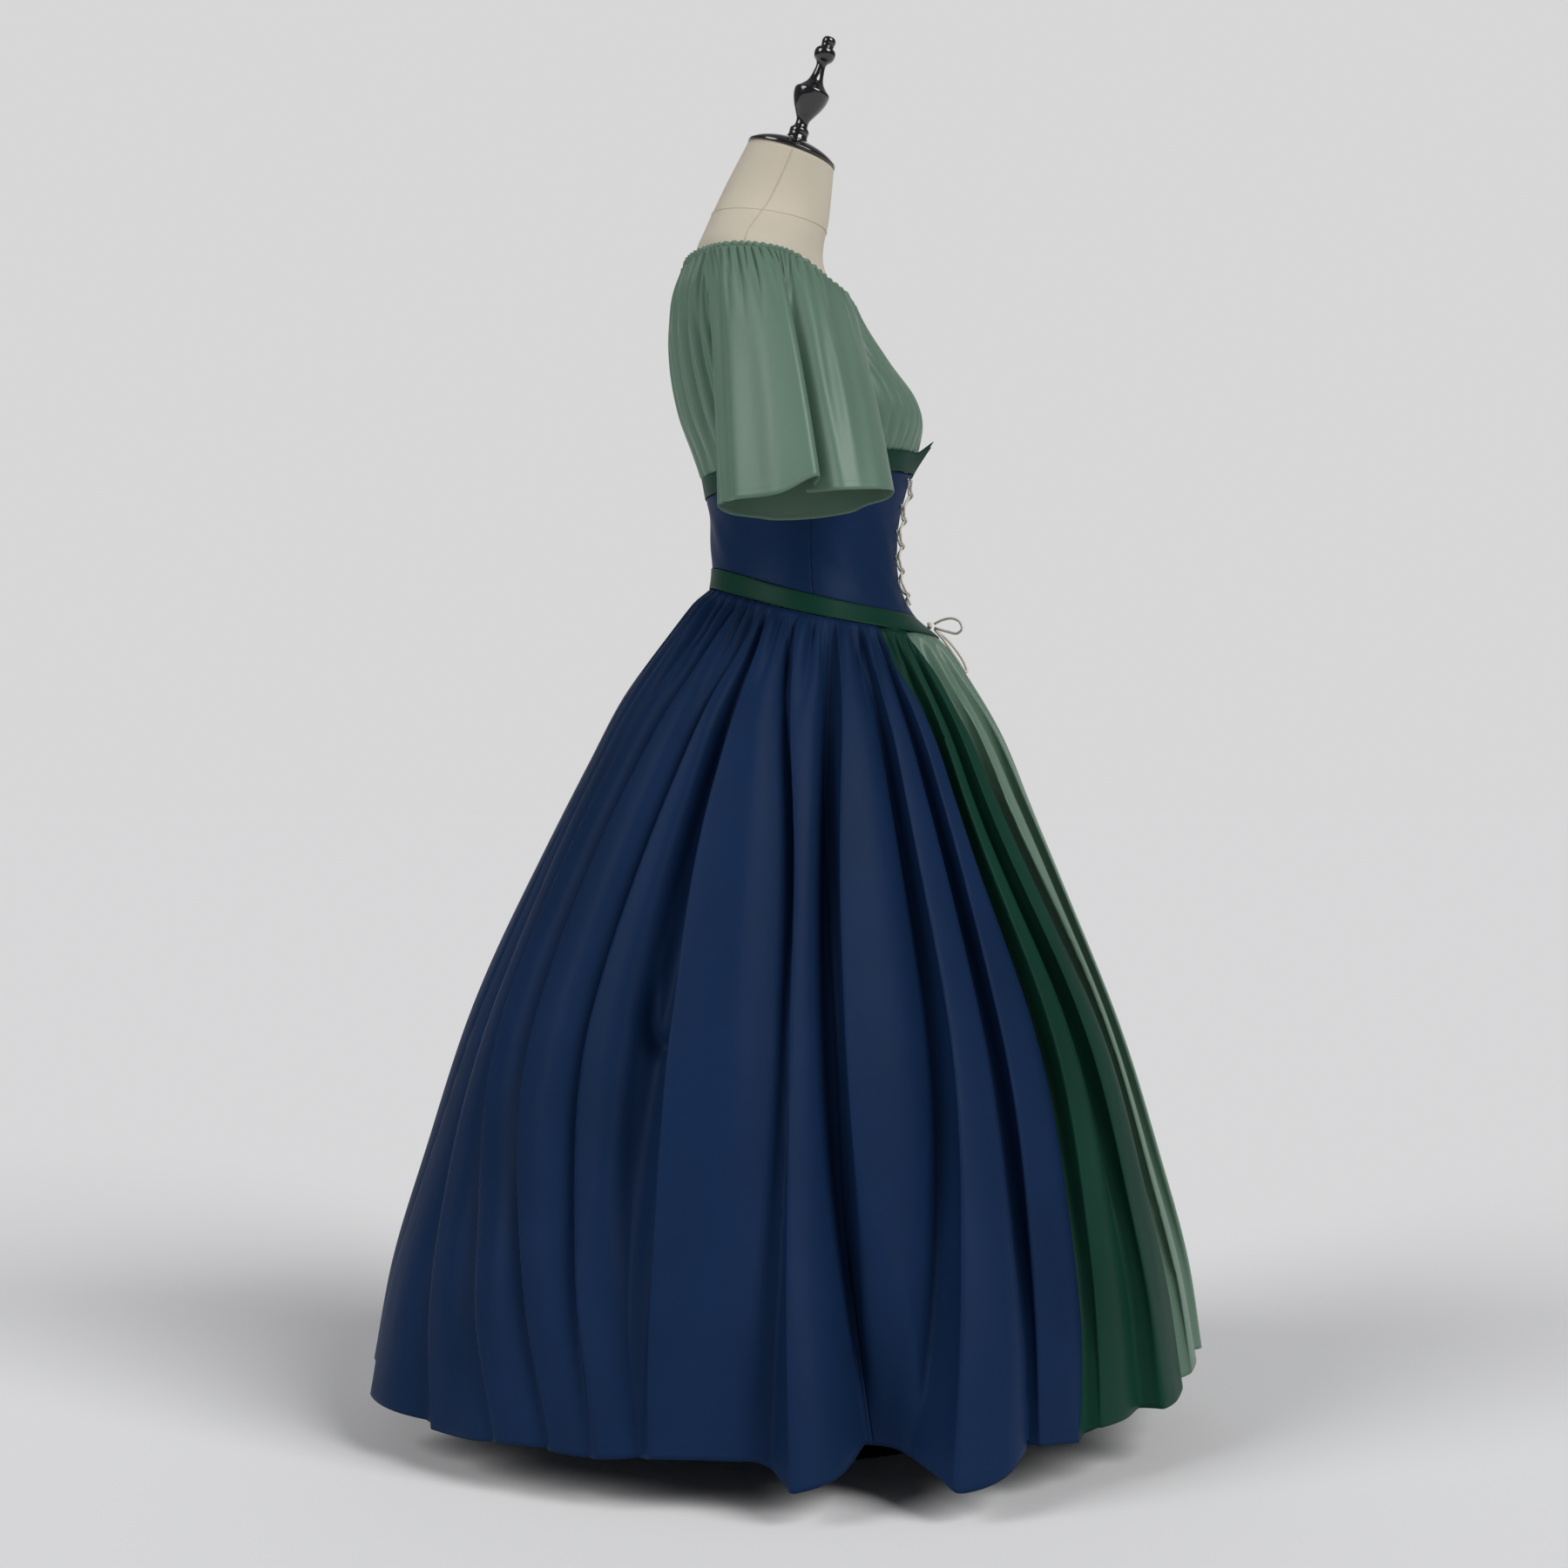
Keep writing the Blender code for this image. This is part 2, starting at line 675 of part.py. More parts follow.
def as_mesh(made):
    """Swap a curve object for a closed mesh object of the same name."""
    name = made.name
    home = made.users_collection[0]
    evaluated = made.evaluated_get(bpy.context.evaluated_depsgraph_get())
    mesh = bpy.data.meshes.new_from_object(evaluated)
    welded = bmesh.new()
    welded.from_mesh(mesh)
    bmesh.ops.remove_doubles(welded, verts=welded.verts, dist=0.00001)
    welded.to_mesh(mesh)
    welded.free()
    place = made.matrix_world.copy()
    bpy.data.objects.remove(made)
    solid = bpy.data.objects.new(name, mesh)
    solid.matrix_world = place
    home.objects.link(solid)
    return solid


# Sub-parts
def make_form(parts, linen, black):
    """Limbless dress form with its neck cap, finial, pole and base."""
    def torso(across, up):
        turn = across * 360
        row = (1 - up) * (len(FORM) - 1)
        spots = np.arange(len(FORM))
        back, back_height, front, front_height, half_width = (
            np.interp(row, spots, column(FORM, name)) for name in FormSection._fields)
        angle = np.radians(turn)
        x = -np.sin(angle) * half_width
        y = (back + front) / 2 + np.cos(angle) * (back - front) / 2
        z = (back_height + front_height) / 2 + np.cos(angle) * (back_height - front_height) / 2
        return np.column_stack((x, y, z))

    mesh = grid_mesh("form_torso", torso, 26, len(FORM) - 1, closed=True)
    add_object("form_torso", mesh, linen, parts)
    turned("form_neck_cap", NECK_CAP, 28, black, parts, NECK_TOP, NECK_TILT)
    turned("form_finial", FINIAL, 20, black, parts, NECK_TOP, NECK_TILT)
    turned("form_base", BASE, 40, black, parts)
    pole_bottom = BASE[0].height + SEAM_GAP
    pole_top = FORM_BOTTOM - SEAM_GAP
    pole = (
        Turned(0.0, pole_top),
        Turned(POLE_RADIUS, pole_top),
        Turned(POLE_RADIUS, pole_bottom),
        Turned(0.0, pole_bottom),
    )
    turned("form_pole", pole, 20, black, parts)


def make_blouse(parts, sage):
    """Blouse front and back and the gathered casing at its neckline."""
    def panel(start, end):
        def surface(across, up):
            return blouse(half_turns(start + (end - start) * across), up)
        return surface

    cloth("blouse_back", panel(-90, 90), 38, 5, sage, parts)
    cloth("blouse_front", panel(90.4, 269.6), 32, 5, sage, parts)

    def casing(across, up):
        turn = across * 360
        angle = np.radians(turn)
        around = up * 2 * math.pi
        out = np.cos(around) * NECK_CASING_HALF_WALL
        x = -np.sin(angle) * (NECK_HALF_WIDTH + out)
        y = (NECK_BACK + NECK_FRONT) / 2
        y = y + np.cos(angle) * ((NECK_BACK - NECK_FRONT) / 2 + out)
        z = neck_height(turn) + np.sin(around) * NECK_CASING_HALF_HEIGHT
        return np.column_stack((x, y, z))

    mesh = grid_mesh("neck_casing", casing, 44, 6, closed=True)
    add_object("neck_casing", mesh, sage, parts)


def make_sleeves(parts, sage):
    """Two short flared sleeves, open at the hem."""
    sleeves = (("sleeve_right", 1, 0.0), ("sleeve_left", -1, LEFT_SLEEVE_NUDGE))
    for name, side, nudge in sleeves:
        folds = [fold._replace(turn=fold.turn + nudge) for fold in SLEEVE_FOLDS]

        def surface(across, up, side=side, folds=folds):
            around = (across - 0.5) * 2
            turn = side * (180 * around - SLEEVE_BUNCHING * np.sin(math.pi * around))
            place = sleeve(turn, 1 - up, folds)
            place[:, 0] *= side
            return place

        cloth(name, surface, 30, 6, sage, parts, joined=True)


def make_bodice(parts, navy, green):
    """Corset, its two bands and the panel behind its lacing."""
    def between(start, end, low, high, lift):
        def surface(across, up):
            turn = start + (end - start) * across
            bottom = low(turn)
            height = bottom + (high(turn) - bottom) * up
            return body(turn, height, lift + corner_flare(turn, height))
        return surface

    def corset_low(turn):
        return waist_high(turn) + SEAM_GAP

    def corset_high(turn):
        return underbust_low(turn) - SEAM_GAP

    edge = CORSET_FRONT_EDGE
    seam = CORSET_SIDE_SEAM
    cloth("corset_back", between(-seam, seam, corset_low, corset_high, 0), 24, 5, navy, parts)
    right = between(seam + CORSET_SEAM_STEP, edge, corset_low, corset_high, 0)
    cloth("corset_front_right", right, 13, 6, navy, parts)
    left = between(-edge, -seam - CORSET_SEAM_STEP, corset_low, corset_high, 0)
    cloth("corset_front_left", left, 13, 6, navy, parts)
    bust_band = between(-edge, edge, underbust_low, underbust_high, BAND_LIFT)
    cloth("underbust_band", bust_band, 56, 1, green, parts)
    band = between(-179.8, 179.8, waist_low, waist_high, BAND_LIFT)
    cloth("waist_band", band, 64, 1, green, parts)

    def panel_low(turn):
        return waist_high(turn) + LACING_PANEL_GAP

    def panel_high(turn):
        return blouse_low(turn) - 2 * SEAM_GAP

    def lacing_panel(across, up):
        turn = half_turns(180 + LACING_PANEL_HALF_TURN * (2 * across - 1))
        low = panel_low(turn)
        return body(turn, low + (panel_high(turn) - low) * up, -PANEL_DEPTH)

    cloth("lacing_panel", lacing_panel, 8, 6, green, parts, wall=LACING_PANEL_WALL)


def lace_point(turn, height, lift=LACE_LIFT):
    """Point of the lacing just clear of the corset's face."""
    spot = np.array([turn])
    flare = float(corner_flare(spot, height)[0])
    return body(spot, np.array([height]), lift + flare)[0]


def lace_route(side):
    """Zigzag over the front opening from the top eyelet, one strand over the other."""
    eyelet = CORSET_FRONT_EDGE - EYELET_INSET
    points = [lace_point(side * eyelet, LACE_ROWS[0])]
    for index, (high, low) in enumerate(zip(LACE_ROWS, LACE_ROWS[1:])):
        here = side * (-1) ** index
        lift = LACE_OVER if here > 0 else LACE_UNDER
        fall = high - low
        points.append(lace_point(here * CORSET_FRONT_EDGE, high - 0.3 * fall))
        middle = body(np.array([180.0]), np.array([high - 0.5 * fall]), lift)[0]
        points.append(middle)
        points.append(lace_point(-here * CORSET_FRONT_EDGE, high - 0.7 * fall))
        points.append(lace_point(-here * eyelet, low))
    return points


def make_lacing(parts, tools, cream):
    """Criss-cross lacing as one solid, with a knot and two bow loops."""
    strands = []
    for side in (1, -1):
        holder = parts if side > 0 else tools
        name = "lacing" if side > 0 else "lacing_crossing"
        strand = cord(name, route(lace_route(side), 31), CORD_RADIUS, cream, holder)
        strands.append(as_mesh(strand))
    union = strands[0].modifiers.new("crossing", "BOOLEAN")
    union.operation = "UNION"
    union.solver = "EXACT"
    union.object = strands[1]
    strands[1].hide_render = True
    strands[1].display_type = "WIRE"
    knot = bmesh.new()
    bmesh.ops.create_icosphere(knot, subdivisions=2, radius=KNOT_RADIUS)
    mesh = bpy.data.meshes.new("bow_knot")
    knot.to_mesh(mesh)
    knot.free()
    add_object("bow_knot", mesh, cream, parts).location = KNOT
    for name, points in (("bow_loop_upper", UPPER_LOOP), ("bow_loop_lower", LOWER_LOOP)):
        cord(name, route(points, 15), CORD_RADIUS, cream, parts)


def seam_half_gap(fall):
    """Half of the gap between two skirt panels, in degrees."""
    radius = 0.13 + 0.27 * fall
    return np.degrees(SEAM_GAP / 2 / radius)


def tucked(turn, fall, away):
    """Points of a panel whose edge lies under its neighbour and rises out of it."""
    depth = INSET_DROP * (1 - ramp(away, 2 * INSET_TUCK, 9.0))
    return skirt_under(turn, fall, depth)


def make_skirt(parts, navy, green, sage):
    """Skirt panels from the centre back round to the sage front."""
    def panel(side, start, end, tuck):
        def surface(across, up):
            fall = 1 - up
            first = start(fall) + seam_half_gap(fall) - tuck
            last = end(fall) - seam_half_gap(fall)
            share = across if side > 0 else 1 - across
            turn = first + (last - first) * share
            if tuck:
                return tucked(side * turn, fall, turn - first)
            return skirt(side * turn, fall)
        return surface

    def centre_back(fall):
        return np.zeros_like(fall)

    def side_seam(fall):
        return seam_turn("side", fall)

    def navy_edge(fall):
        return seam_turn("navy", fall)

    def green_edge(fall):
        return seam_turn("green", fall)

    for side, hand in ((1, "right"), (-1, "left")):
        back = panel(side, centre_back, side_seam, 0.0)
        cloth("skirt_back_" + hand, back, 34, 10, navy, parts)
        edge = panel(side, side_seam, navy_edge, 0.0)
        cloth("skirt_side_" + hand, edge, 13, 10, navy, parts)
        inset = panel(side, navy_edge, green_edge, INSET_TUCK)
        cloth("skirt_inset_" + hand, inset, 9, 10, green, parts)

    def front(across, up):
        fall = 1 - up
        edge = green_edge(fall) + seam_half_gap(fall) - INSET_TUCK
        turn = edge + (360 - 2 * edge) * across
        side = np.minimum(turn, 360 - turn)
        return tucked(half_turns(turn), fall, side - edge)

    cloth("skirt_front", front, 18, 10, sage, parts)


def main():
    """Clear the scene and build the gown on its form."""
    for old in list(bpy.data.objects):
        bpy.data.objects.remove(old)
    parts = collection("medieval_gown")
    tools = collection("cutters")
    linen = material("linen", (0.78, 0.74, 0.66), 0.9)
    black = material("black_lacquer", (0.05, 0.05, 0.055), 0.25)
    navy = material("navy_cloth", (0.12, 0.18, 0.31), 0.6)
    green = material("dark_green_cloth", (0.12, 0.23, 0.20), 0.6)
    sage = material("sage_cloth", (0.45, 0.56, 0.49), 0.6)
    cream = material("cream_cord", (0.82, 0.80, 0.73), 0.85)
    make_form(parts, linen, black)
    make_blouse(parts, sage)
    make_sleeves(parts, sage)
    make_bodice(parts, navy, green)
    make_lacing(parts, tools, cream)
    make_skirt(parts, navy, green, sage)


main()
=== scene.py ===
"""Looks of a medieval gown on a limbless dress form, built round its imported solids.

The gown faces -Y and the wearer's right side is -X. A turn round the gown is in degrees:
0 at the centre back, 90 at the wearer's right, 180 at the centre front, -90 at the left.
A fall down the skirt or a sleeve is 0 at its seam and 1 at its hem.
"""

import logging
import math
from contextlib import contextmanager
from dataclasses import dataclass, field, replace
from enum import Enum
from typing import Any, Callable, Iterable, Iterator, Optional, Sequence

import bmesh
import bpy
import numpy as np
from mathutils import Matrix, Vector


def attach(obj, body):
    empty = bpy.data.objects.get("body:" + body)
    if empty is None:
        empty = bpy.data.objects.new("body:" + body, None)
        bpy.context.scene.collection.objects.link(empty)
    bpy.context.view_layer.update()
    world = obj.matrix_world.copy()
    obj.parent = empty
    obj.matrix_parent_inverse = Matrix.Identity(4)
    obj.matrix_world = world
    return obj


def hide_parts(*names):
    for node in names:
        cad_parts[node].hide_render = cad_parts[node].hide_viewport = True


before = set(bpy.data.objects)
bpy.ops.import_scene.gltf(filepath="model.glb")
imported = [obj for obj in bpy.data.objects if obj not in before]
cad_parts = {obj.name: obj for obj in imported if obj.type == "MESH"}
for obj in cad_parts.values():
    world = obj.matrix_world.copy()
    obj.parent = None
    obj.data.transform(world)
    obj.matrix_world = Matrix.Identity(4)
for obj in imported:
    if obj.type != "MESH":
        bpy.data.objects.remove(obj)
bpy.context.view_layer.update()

LOG = logging.getLogger("medieval_gown")
ROOT = "root"
MM = 0.001
SEAM_GAP = 0.5 * MM
WELD = 0.01 * MM
# A wave texture at scale 1 repeats every 0.314 of its coordinate
WAVE_PERIOD = 0.314
Surface = Callable[[np.ndarray, np.ndarray], np.ndarray]
Socket = bpy.types.NodeSocket


# Shaping curves
def through(knots: Sequence[float], values: Sequence[float], at: Any) -> np.ndarray:
    """Smooth curve through values at rising knots, level beyond the ends.

    Args:
        knots: Rising places of the values.
        values: Values that the curve passes through.
        at: Places to read the curve at.

    Returns:
        The curve's values there.
    """
    spots = np.asarray(knots, dtype=float)
    heights = np.asarray(values, dtype=float)
    at = np.clip(at, spots[0], spots[-1])
    slopes = np.gradient(heights, spots)
    index = np.clip(np.searchsorted(spots, at, side="right") - 1, 0, len(spots) - 2)
    span = spots[index + 1] - spots[index]
    s = (at - spots[index]) / span
    start = heights[index] * (1 + 2 * s) * (1 - s) ** 2
    end = heights[index + 1] * s * s * (3 - 2 * s)
    leave = slopes[index] * span * s * (1 - s) ** 2
    reach = slopes[index + 1] * span * s * s * (s - 1)
    return start + end + leave + reach


def ramp(value: Any, low: float, high: float) -> np.ndarray:
    """0 below low, 1 above high and a soft rise between them."""
    s = np.clip((value - low) / (high - low), 0.0, 1.0)
    return s * s * (3 - 2 * s)


def hollow(away: np.ndarray) -> np.ndarray:
    """Soft hollow of depth 1 at 0 that ends at 1 on both sides."""
    return np.clip(1 - away * away, 0.0, 1.0) ** 2


def half_turns(turn: np.ndarray) -> np.ndarray:
    """The same turns, kept between -180 and 180."""
    return np.where(turn > 180, turn - 360, turn)


def route(points: Sequence[Sequence[float]], count: int) -> np.ndarray:
    """Evenly spread points on the smooth curve through a route's own points."""
    places = np.array(points)
    steps = np.linalg.norm(np.diff(places, axis=0), axis=1)
    knots = np.concatenate(([0.0], np.cumsum(steps)))
    at = np.linspace(0.0, knots[-1], count)
    return np.column_stack([through(knots, places[:, axis], at) for axis in range(3)])


def read_table(rows: Sequence[Any], key: str, value: str, at: Any) -> np.ndarray:
    """Smooth curve through one column of a table against its rising key column."""
    return through([getattr(row, key) for row in rows], [getattr(row, value) for row in rows], at)


@dataclass(frozen=True)
class Gathers:
    """Round gathers with sharp hollows, uneven in spacing and depth.

    The spacing is in degrees and the depth in metres. The drift, in degrees, shifts where they
    bunch. A higher roundness narrows the crests, and the middle is the height that counts as 0.
    """

    spacing: float
    depth: float
    drift: float
    roundness: float = 0.65
    middle: float = 0.75

    def at(self, turn: np.ndarray) -> np.ndarray:
        """How far the cloth stands out at some turns, in metres."""
        phase = turn / self.spacing + 0.22 * np.sin(np.radians(turn * 5.3 + self.drift))
        uneven = 0.75 + 0.25 * np.sin(np.radians(turn * 3.1 + 2 * self.drift))
        crest = np.abs(np.cos(math.pi * phase)) ** self.roundness
        return self.depth * uneven * (crest - self.middle)


# Finishes
def linear(colour: str) -> tuple[float, float, float, float]:
    """Linear colour of an sRGB hex value."""
    parts = [int(colour[i:i + 2], 16) / 255 for i in (1, 3, 5)]
    red, green, blue = (
        c / 12.92 if c <= 0.04045 else ((c + 0.055) / 1.055) ** 2.4 for c in parts)
    return red, green, blue, 1.0


def set_node(tree: bpy.types.NodeTree, node: bpy.types.Node, settings: dict[Any, Any]) -> None:
    """Set a node's properties and inputs, and link the sockets that feed it.

    Args:
        tree: The node's tree.
        node: The node.
        settings: Values or sockets, by property name, or by input name or number.
    """
    for name, value in settings.items():
        if isinstance(value, Socket):
            tree.links.new(value, node.inputs[name])
        elif isinstance(name, str) and hasattr(node, name):
            setattr(node, name, value)
        else:
            node.inputs[name].default_value = value


def add_node(tree: bpy.types.NodeTree, kind: str, settings: dict[Any, Any]) -> bpy.types.Node:
    """Add a shader node of a kind, with its settings and links."""
    made = tree.nodes.new("ShaderNode" + kind)
    set_node(tree, made, settings)
    return made


def mix_colours(tree: bpy.types.NodeTree, low: str, high: str, share: Socket) -> Socket:
    """Colour that goes from one hex value to another by a share."""
    settings = {"data_type": "RGBA", 6: linear(low), 7: linear(high), 0: share}
    return add_node(tree, "Mix", settings).outputs[2]


class Look:
    """Material in the making: a Principled shader joined to its output."""

    def __init__(self, name: str) -> None:
        """Start an empty material of a name."""
        self.material = bpy.data.materials.new(name)
        self.material.use_nodes = True
        self.tree = self.material.node_tree
        self.tree.nodes.clear()
        self.shader = add_node(self.tree, "BsdfPrincipled", {})
        add_node(self.tree, "OutputMaterial", {"Surface": self.shader.outputs[0]})
        place = add_node(self.tree, "TexCoord", {})
        self.cloth = place.outputs["UV"]
        self.space = place.outputs["Object"]

    def node(self, kind: str, settings: dict[Any, Any]) -> Socket:
        """First output of a new node."""
        return add_node(self.tree, kind, settings).outputs[0]

    def stretched(self, vector: Socket, scale: tuple[float, float, float]) -> Socket:
        """A vector scaled along its axes."""
        return self.node("Mapping", {"Scale": scale, "Vector": vector})

    def noise(self, vector: Socket, scale: float, detail: float) -> Socket:
        """Strength of a noise over a vector."""
        settings = {"Scale": scale, "Detail": detail, "Vector": vector}
        return add_node(self.tree, "TexNoise", settings).outputs["Fac"]

    def wave(self, vector: Socket, way: str, period: float, **settings: float) -> Socket:
        """Strength of bands over a vector, which repeat at a period in metres.

        Args:
            vector: What the bands run over.
            way: Blender's name of their direction.
            period: Metres from one band to the next.
            settings: More of the texture's inputs, with _ for a space.

        Returns:
            The bands' strength.
        """
        more = {name.replace("_", " "): value for name, value in settings.items()}
        made = {"bands_direction": way, "Scale": WAVE_PERIOD / period, "Vector": vector, **more}
        return add_node(self.tree, "TexWave", made).outputs["Fac"]

    def bump(self, strength: float, distance: float, height: Socket, **more: Any) -> Socket:
        """Normal of a relief of a height."""
        settings = {"Strength": strength, "Distance": distance, "Height": height, **more}
        return self.node("Bump", settings)

    def dress(self, settings: dict[str, Any]) -> bpy.types.Material:
        """Set the shader's inputs and give the finished material."""
        set_node(self.tree, self.shader, settings)
        return self.material


@dataclass(frozen=True)
class ClothFinish:
    """Woven dress cloth: soft sheen, threads, slight crumple and stitched edges."""

    name: str
    slot: str
    colour: str
    worn_colour: str
    roughness: float
    specular: float
    sheen: float
    sheen_colour: str = "#ffffff"
    # Real threads are about 0.25 mm apart and drawn four times as coarse, so that they show
    thread: float = 1.0 * MM
    thread_depth: float = 0.035 * MM
    crumple_size: float = 60 * MM
    crumple_depth: float = 1.6 * MM
    stitches: tuple[float, ...] = ()
    stitch_length: float = 2.8 * MM
    stitch_half_width: float = 0.45 * MM
    stitch_depth: float = 0.4 * MM

    def material(self) -> bpy.types.Material:
        """Build the cloth's material."""
        look = Look(self.name)
        lengthways = look.stretched(look.space, (1.0, 1.0, 0.35))
        crumple = look.noise(lengthways, 1 / self.crumple_size, 3.0)
        fade = look.noise(look.space, 7.0, 4.0)
        share = look.node("MapRange", {"From Min": 0.3, "From Max": 0.7, "Value": fade})
        warp, weft = (
            look.wave(look.cloth, way, self.thread, Distortion=0.4, Detail=1.0) for way in "XY")
        threads = look.node("Math", {"operation": "MULTIPLY", 0: warp, 1: weft})
        weave = look.bump(1.0, self.thread_depth, threads)
        normal = look.bump(1.0, self.crumple_depth, crumple, Normal=weave)
        for height in self.stitches:
            normal = self._stitch_row(look, height, normal)
        return look.dress({
            "Base Color": mix_colours(look.tree, self.colour, self.worn_colour, share),
            "Normal": normal,
            "Roughness": self.roughness,
            "Specular IOR Level": self.specular,
            "Sheen Weight": self.sheen,
            "Sheen Roughness": 0.45,
            "Sheen Tint": linear(self.sheen_colour),
        })

    def _stitch_row(self, look: Look, height: float, below: Socket) -> Socket:
        """Row of stitches sunk in the cloth.

        Args:
            look: Material in the making.
            height: Height above the lower edge in metres, or below the upper edge if negative.
            below: Normal that the row goes over.

        Returns:
            The normal with the row.
        """
        source = look.cloth if height > 0 else look.node("UVMap", {"uv_map": "from_top"})
        split = add_node(look.tree, "SeparateXYZ", {0: source}).outputs
        near = look.node("Math", {
            "operation": "COMPARE", 0: split[1], 1: abs(height), 2: self.stitch_half_width})
        beat = look.node("Math", {
            "operation": "PINGPONG", 0: split[0], 1: self.stitch_length / 2})
        sewn = look.node("Math", {
            "operation": "GREATER_THAN", 0: beat, 1: self.stitch_length * 0.12})
        row = look.node("Math", {"operation": "MULTIPLY", 0: near, 1: sewn})
        return look.bump(0.6, self.stitch_depth, row, Normal=below, invert=True)


@dataclass(frozen=True)
class LinenFinish:
    """Undyed plain linen over the dress form: matt, with slubs in its threads."""

    name: str = "undyed_linen_cover"
    slot: str = "linen"
    colour: str = "#d6cdbb"
    slub_colour: str = "#cbc1ac"
    # Linen threads are about 0.5 mm apart, drawn twice as coarse so that they show
    thread: float = 1.0 * MM
    thread_depth: float = 0.12 * MM

    def material(self) -> bpy.types.Material:
        """Build the linen's material."""
        look = Look(self.name)
        uneven = {"Distortion": 1.5, "Detail": 2.0, "Detail_Scale": 3.0}
        warp, weft = (look.wave(look.cloth, way, self.thread, **uneven) for way in "XY")
        threads = look.node("Math", {"operation": "ADD", 0: warp, 1: weft})
        slubs = look.noise(look.stretched(look.cloth, (1.0, 9.0, 1.0)), 90.0, 3.0)
        return look.dress({
            "Base Color": mix_colours(look.tree, self.colour, self.slub_colour, slubs),
            "Normal": look.bump(0.8, self.thread_depth, threads),
            "Roughness": 0.92,
            "Specular IOR Level": 0.2,
            "Sheen Weight": 0.15,
        })


@dataclass(frozen=True)
class HardFinish:
    """Hard coated surface, such as lacquered wood, painted steel or a plated ring."""

    name: str
    slot: str
    colour: str
    roughness: float
    metallic: float = 0.0
    coat: float = 0.0
    ripple: float = 0.05 * MM

    def material(self) -> bpy.types.Material:
        """Build the coated surface's material."""
        look = Look(self.name)
        grain = look.noise(look.space, 160.0, 2.0)
        dull = look.node("MapRange", {
            "To Min": self.roughness * 0.85, "To Max": self.roughness * 1.2, "Value": grain})
        return look.dress({
            "Normal": look.bump(0.5, self.ripple, grain),
            "Roughness": dull,
            "Base Color": linear(self.colour),
            "Metallic": self.metallic,
            "Coat Weight": self.coat,
            "Coat Roughness": 0.06,
        })


@dataclass(frozen=True)
class CordFinish:
    """Round braided cord, cream, with its plait as a slanting ripple and painted shade in the
    plait's hollows.
    """

    name: str = "cream_braided_cord"
    slot: str = "cream_cord"
    colour: str = "#e8e4da"
    # Painted shade: a darker colour laid into the plait's hollows, where shade would fall
    plait_shade_colour: str = "#c6c0b0"
    # The plait repeats about every 1.6 mm along a 3 mm cord
    plait: float = 1.6 * MM
    plait_depth: float = 0.3 * MM

    def material(self) -> bpy.types.Material:
        """Build the cord's material."""
        look = Look(self.name)
        plait = look.wave(look.space, "DIAGONAL", self.plait, Distortion=0.5)
        return look.dress({
            # The plait's low parts get the painted shade colour and its high parts the cream
            "Base Color": mix_colours(look.tree, self.plait_shade_colour, self.colour, plait),
            "Normal": look.bump(0.7, self.plait_depth, plait),
            "Roughness": 0.8,
        })


class Dye(Enum):
    """The gown's three cloths."""

    SAGE = ClothFinish(
        "sage_satin_weave", "sage_cloth", "#5c7967", "#567361", roughness=0.42, specular=0.45,
        sheen=0.12)
    NAVY = ClothFinish(
        "navy_satin_weave", "navy_cloth", "#152a4b", "#122643", roughness=0.45, specular=0.05,
        sheen=0.02, sheen_colour="#6d8fd8")
    GREEN = ClothFinish(
        "dark_green_satin_weave", "dark_green_cloth", "#123b2e", "#0f3328", roughness=0.45,
        specular=0.08, sheen=0.02, sheen_colour="#7fd0a8")


LINEN = LinenFinish()
LACQUER = HardFinish("black_lacquered_wood", "black_lacquer", "#08080a", 0.16, coat=1.0)
PAINTED_STEEL = HardFinish("satin_black_painted_steel", "black_metal", "#0c0c0e", 0.42)
PLATED_RING = HardFinish("nickel_plated_eyelet", "cream_cord", "#b9b6ae", 0.3, metallic=1.0)
CORD = CordFinish()


@dataclass
class Wardrobe:
    """Keeps one material for each finish."""

    made: dict[str, bpy.types.Material] = field(default_factory=dict)

    def of(self, finish: Any, stitches: tuple[float, ...] = ()) -> bpy.types.Material:
        """Material of a finish, with rows of stitches at heights in metres from an edge."""
        key = finish.name + "".join(f"_{round(row * 1e4)}" for row in stitches)
        if key not in self.made:
            if stitches:
                finish = replace(finish, stitches=stitches, name=finish.name + "_stitched")
            self.made[key] = finish.material()
        return self.made[key]


WARDROBE = Wardrobe()


# Making of pieces
def link(name: str, data: Any) -> bpy.types.Object:
    """Put an object with its data in the scene."""
    made = bpy.data.objects.new(name, data)
    bpy.context.scene.collection.objects.link(made)
    return made


def to_mesh(name: str, shape: bmesh.types.BMesh) -> bpy.types.Mesh:
    """New mesh with an edited shape, which is freed."""
    mesh = bpy.data.meshes.new(name)
    shape.to_mesh(mesh)
    shape.free()
    return mesh


@contextmanager
def edited(mesh: bpy.types.Mesh) -> Iterator[bmesh.types.BMesh]:
    """Shape of a mesh, to edit, which is then put back in it with its faces turned outward."""
    shape = bmesh.new()
    shape.from_mesh(mesh)
    yield shape
    bmesh.ops.recalc_face_normals(shape, faces=shape.faces)
    shape.to_mesh(mesh)
    shape.free()


def spin(shape: bmesh.types.BMesh, outline: list[Any], steps: int, near: float = WELD) -> None:
    """Turn an outline a full round about the upright axis and join it up.

    Args:
        shape: Shape that holds the outline.
        outline: Its points and edges.
        steps: Faces round it.
        near: How close points are that are joined.
    """
    bmesh.ops.spin(shape, geom=outline, cent=(0, 0, 0), axis=(0, 0, 1), dvec=(0, 0, 0),
                   angle=2 * math.pi, steps=steps, use_merge=True)
    bmesh.ops.remove_doubles(shape, verts=shape.verts, dist=near)
    bmesh.ops.recalc_face_normals(shape, faces=shape.faces)


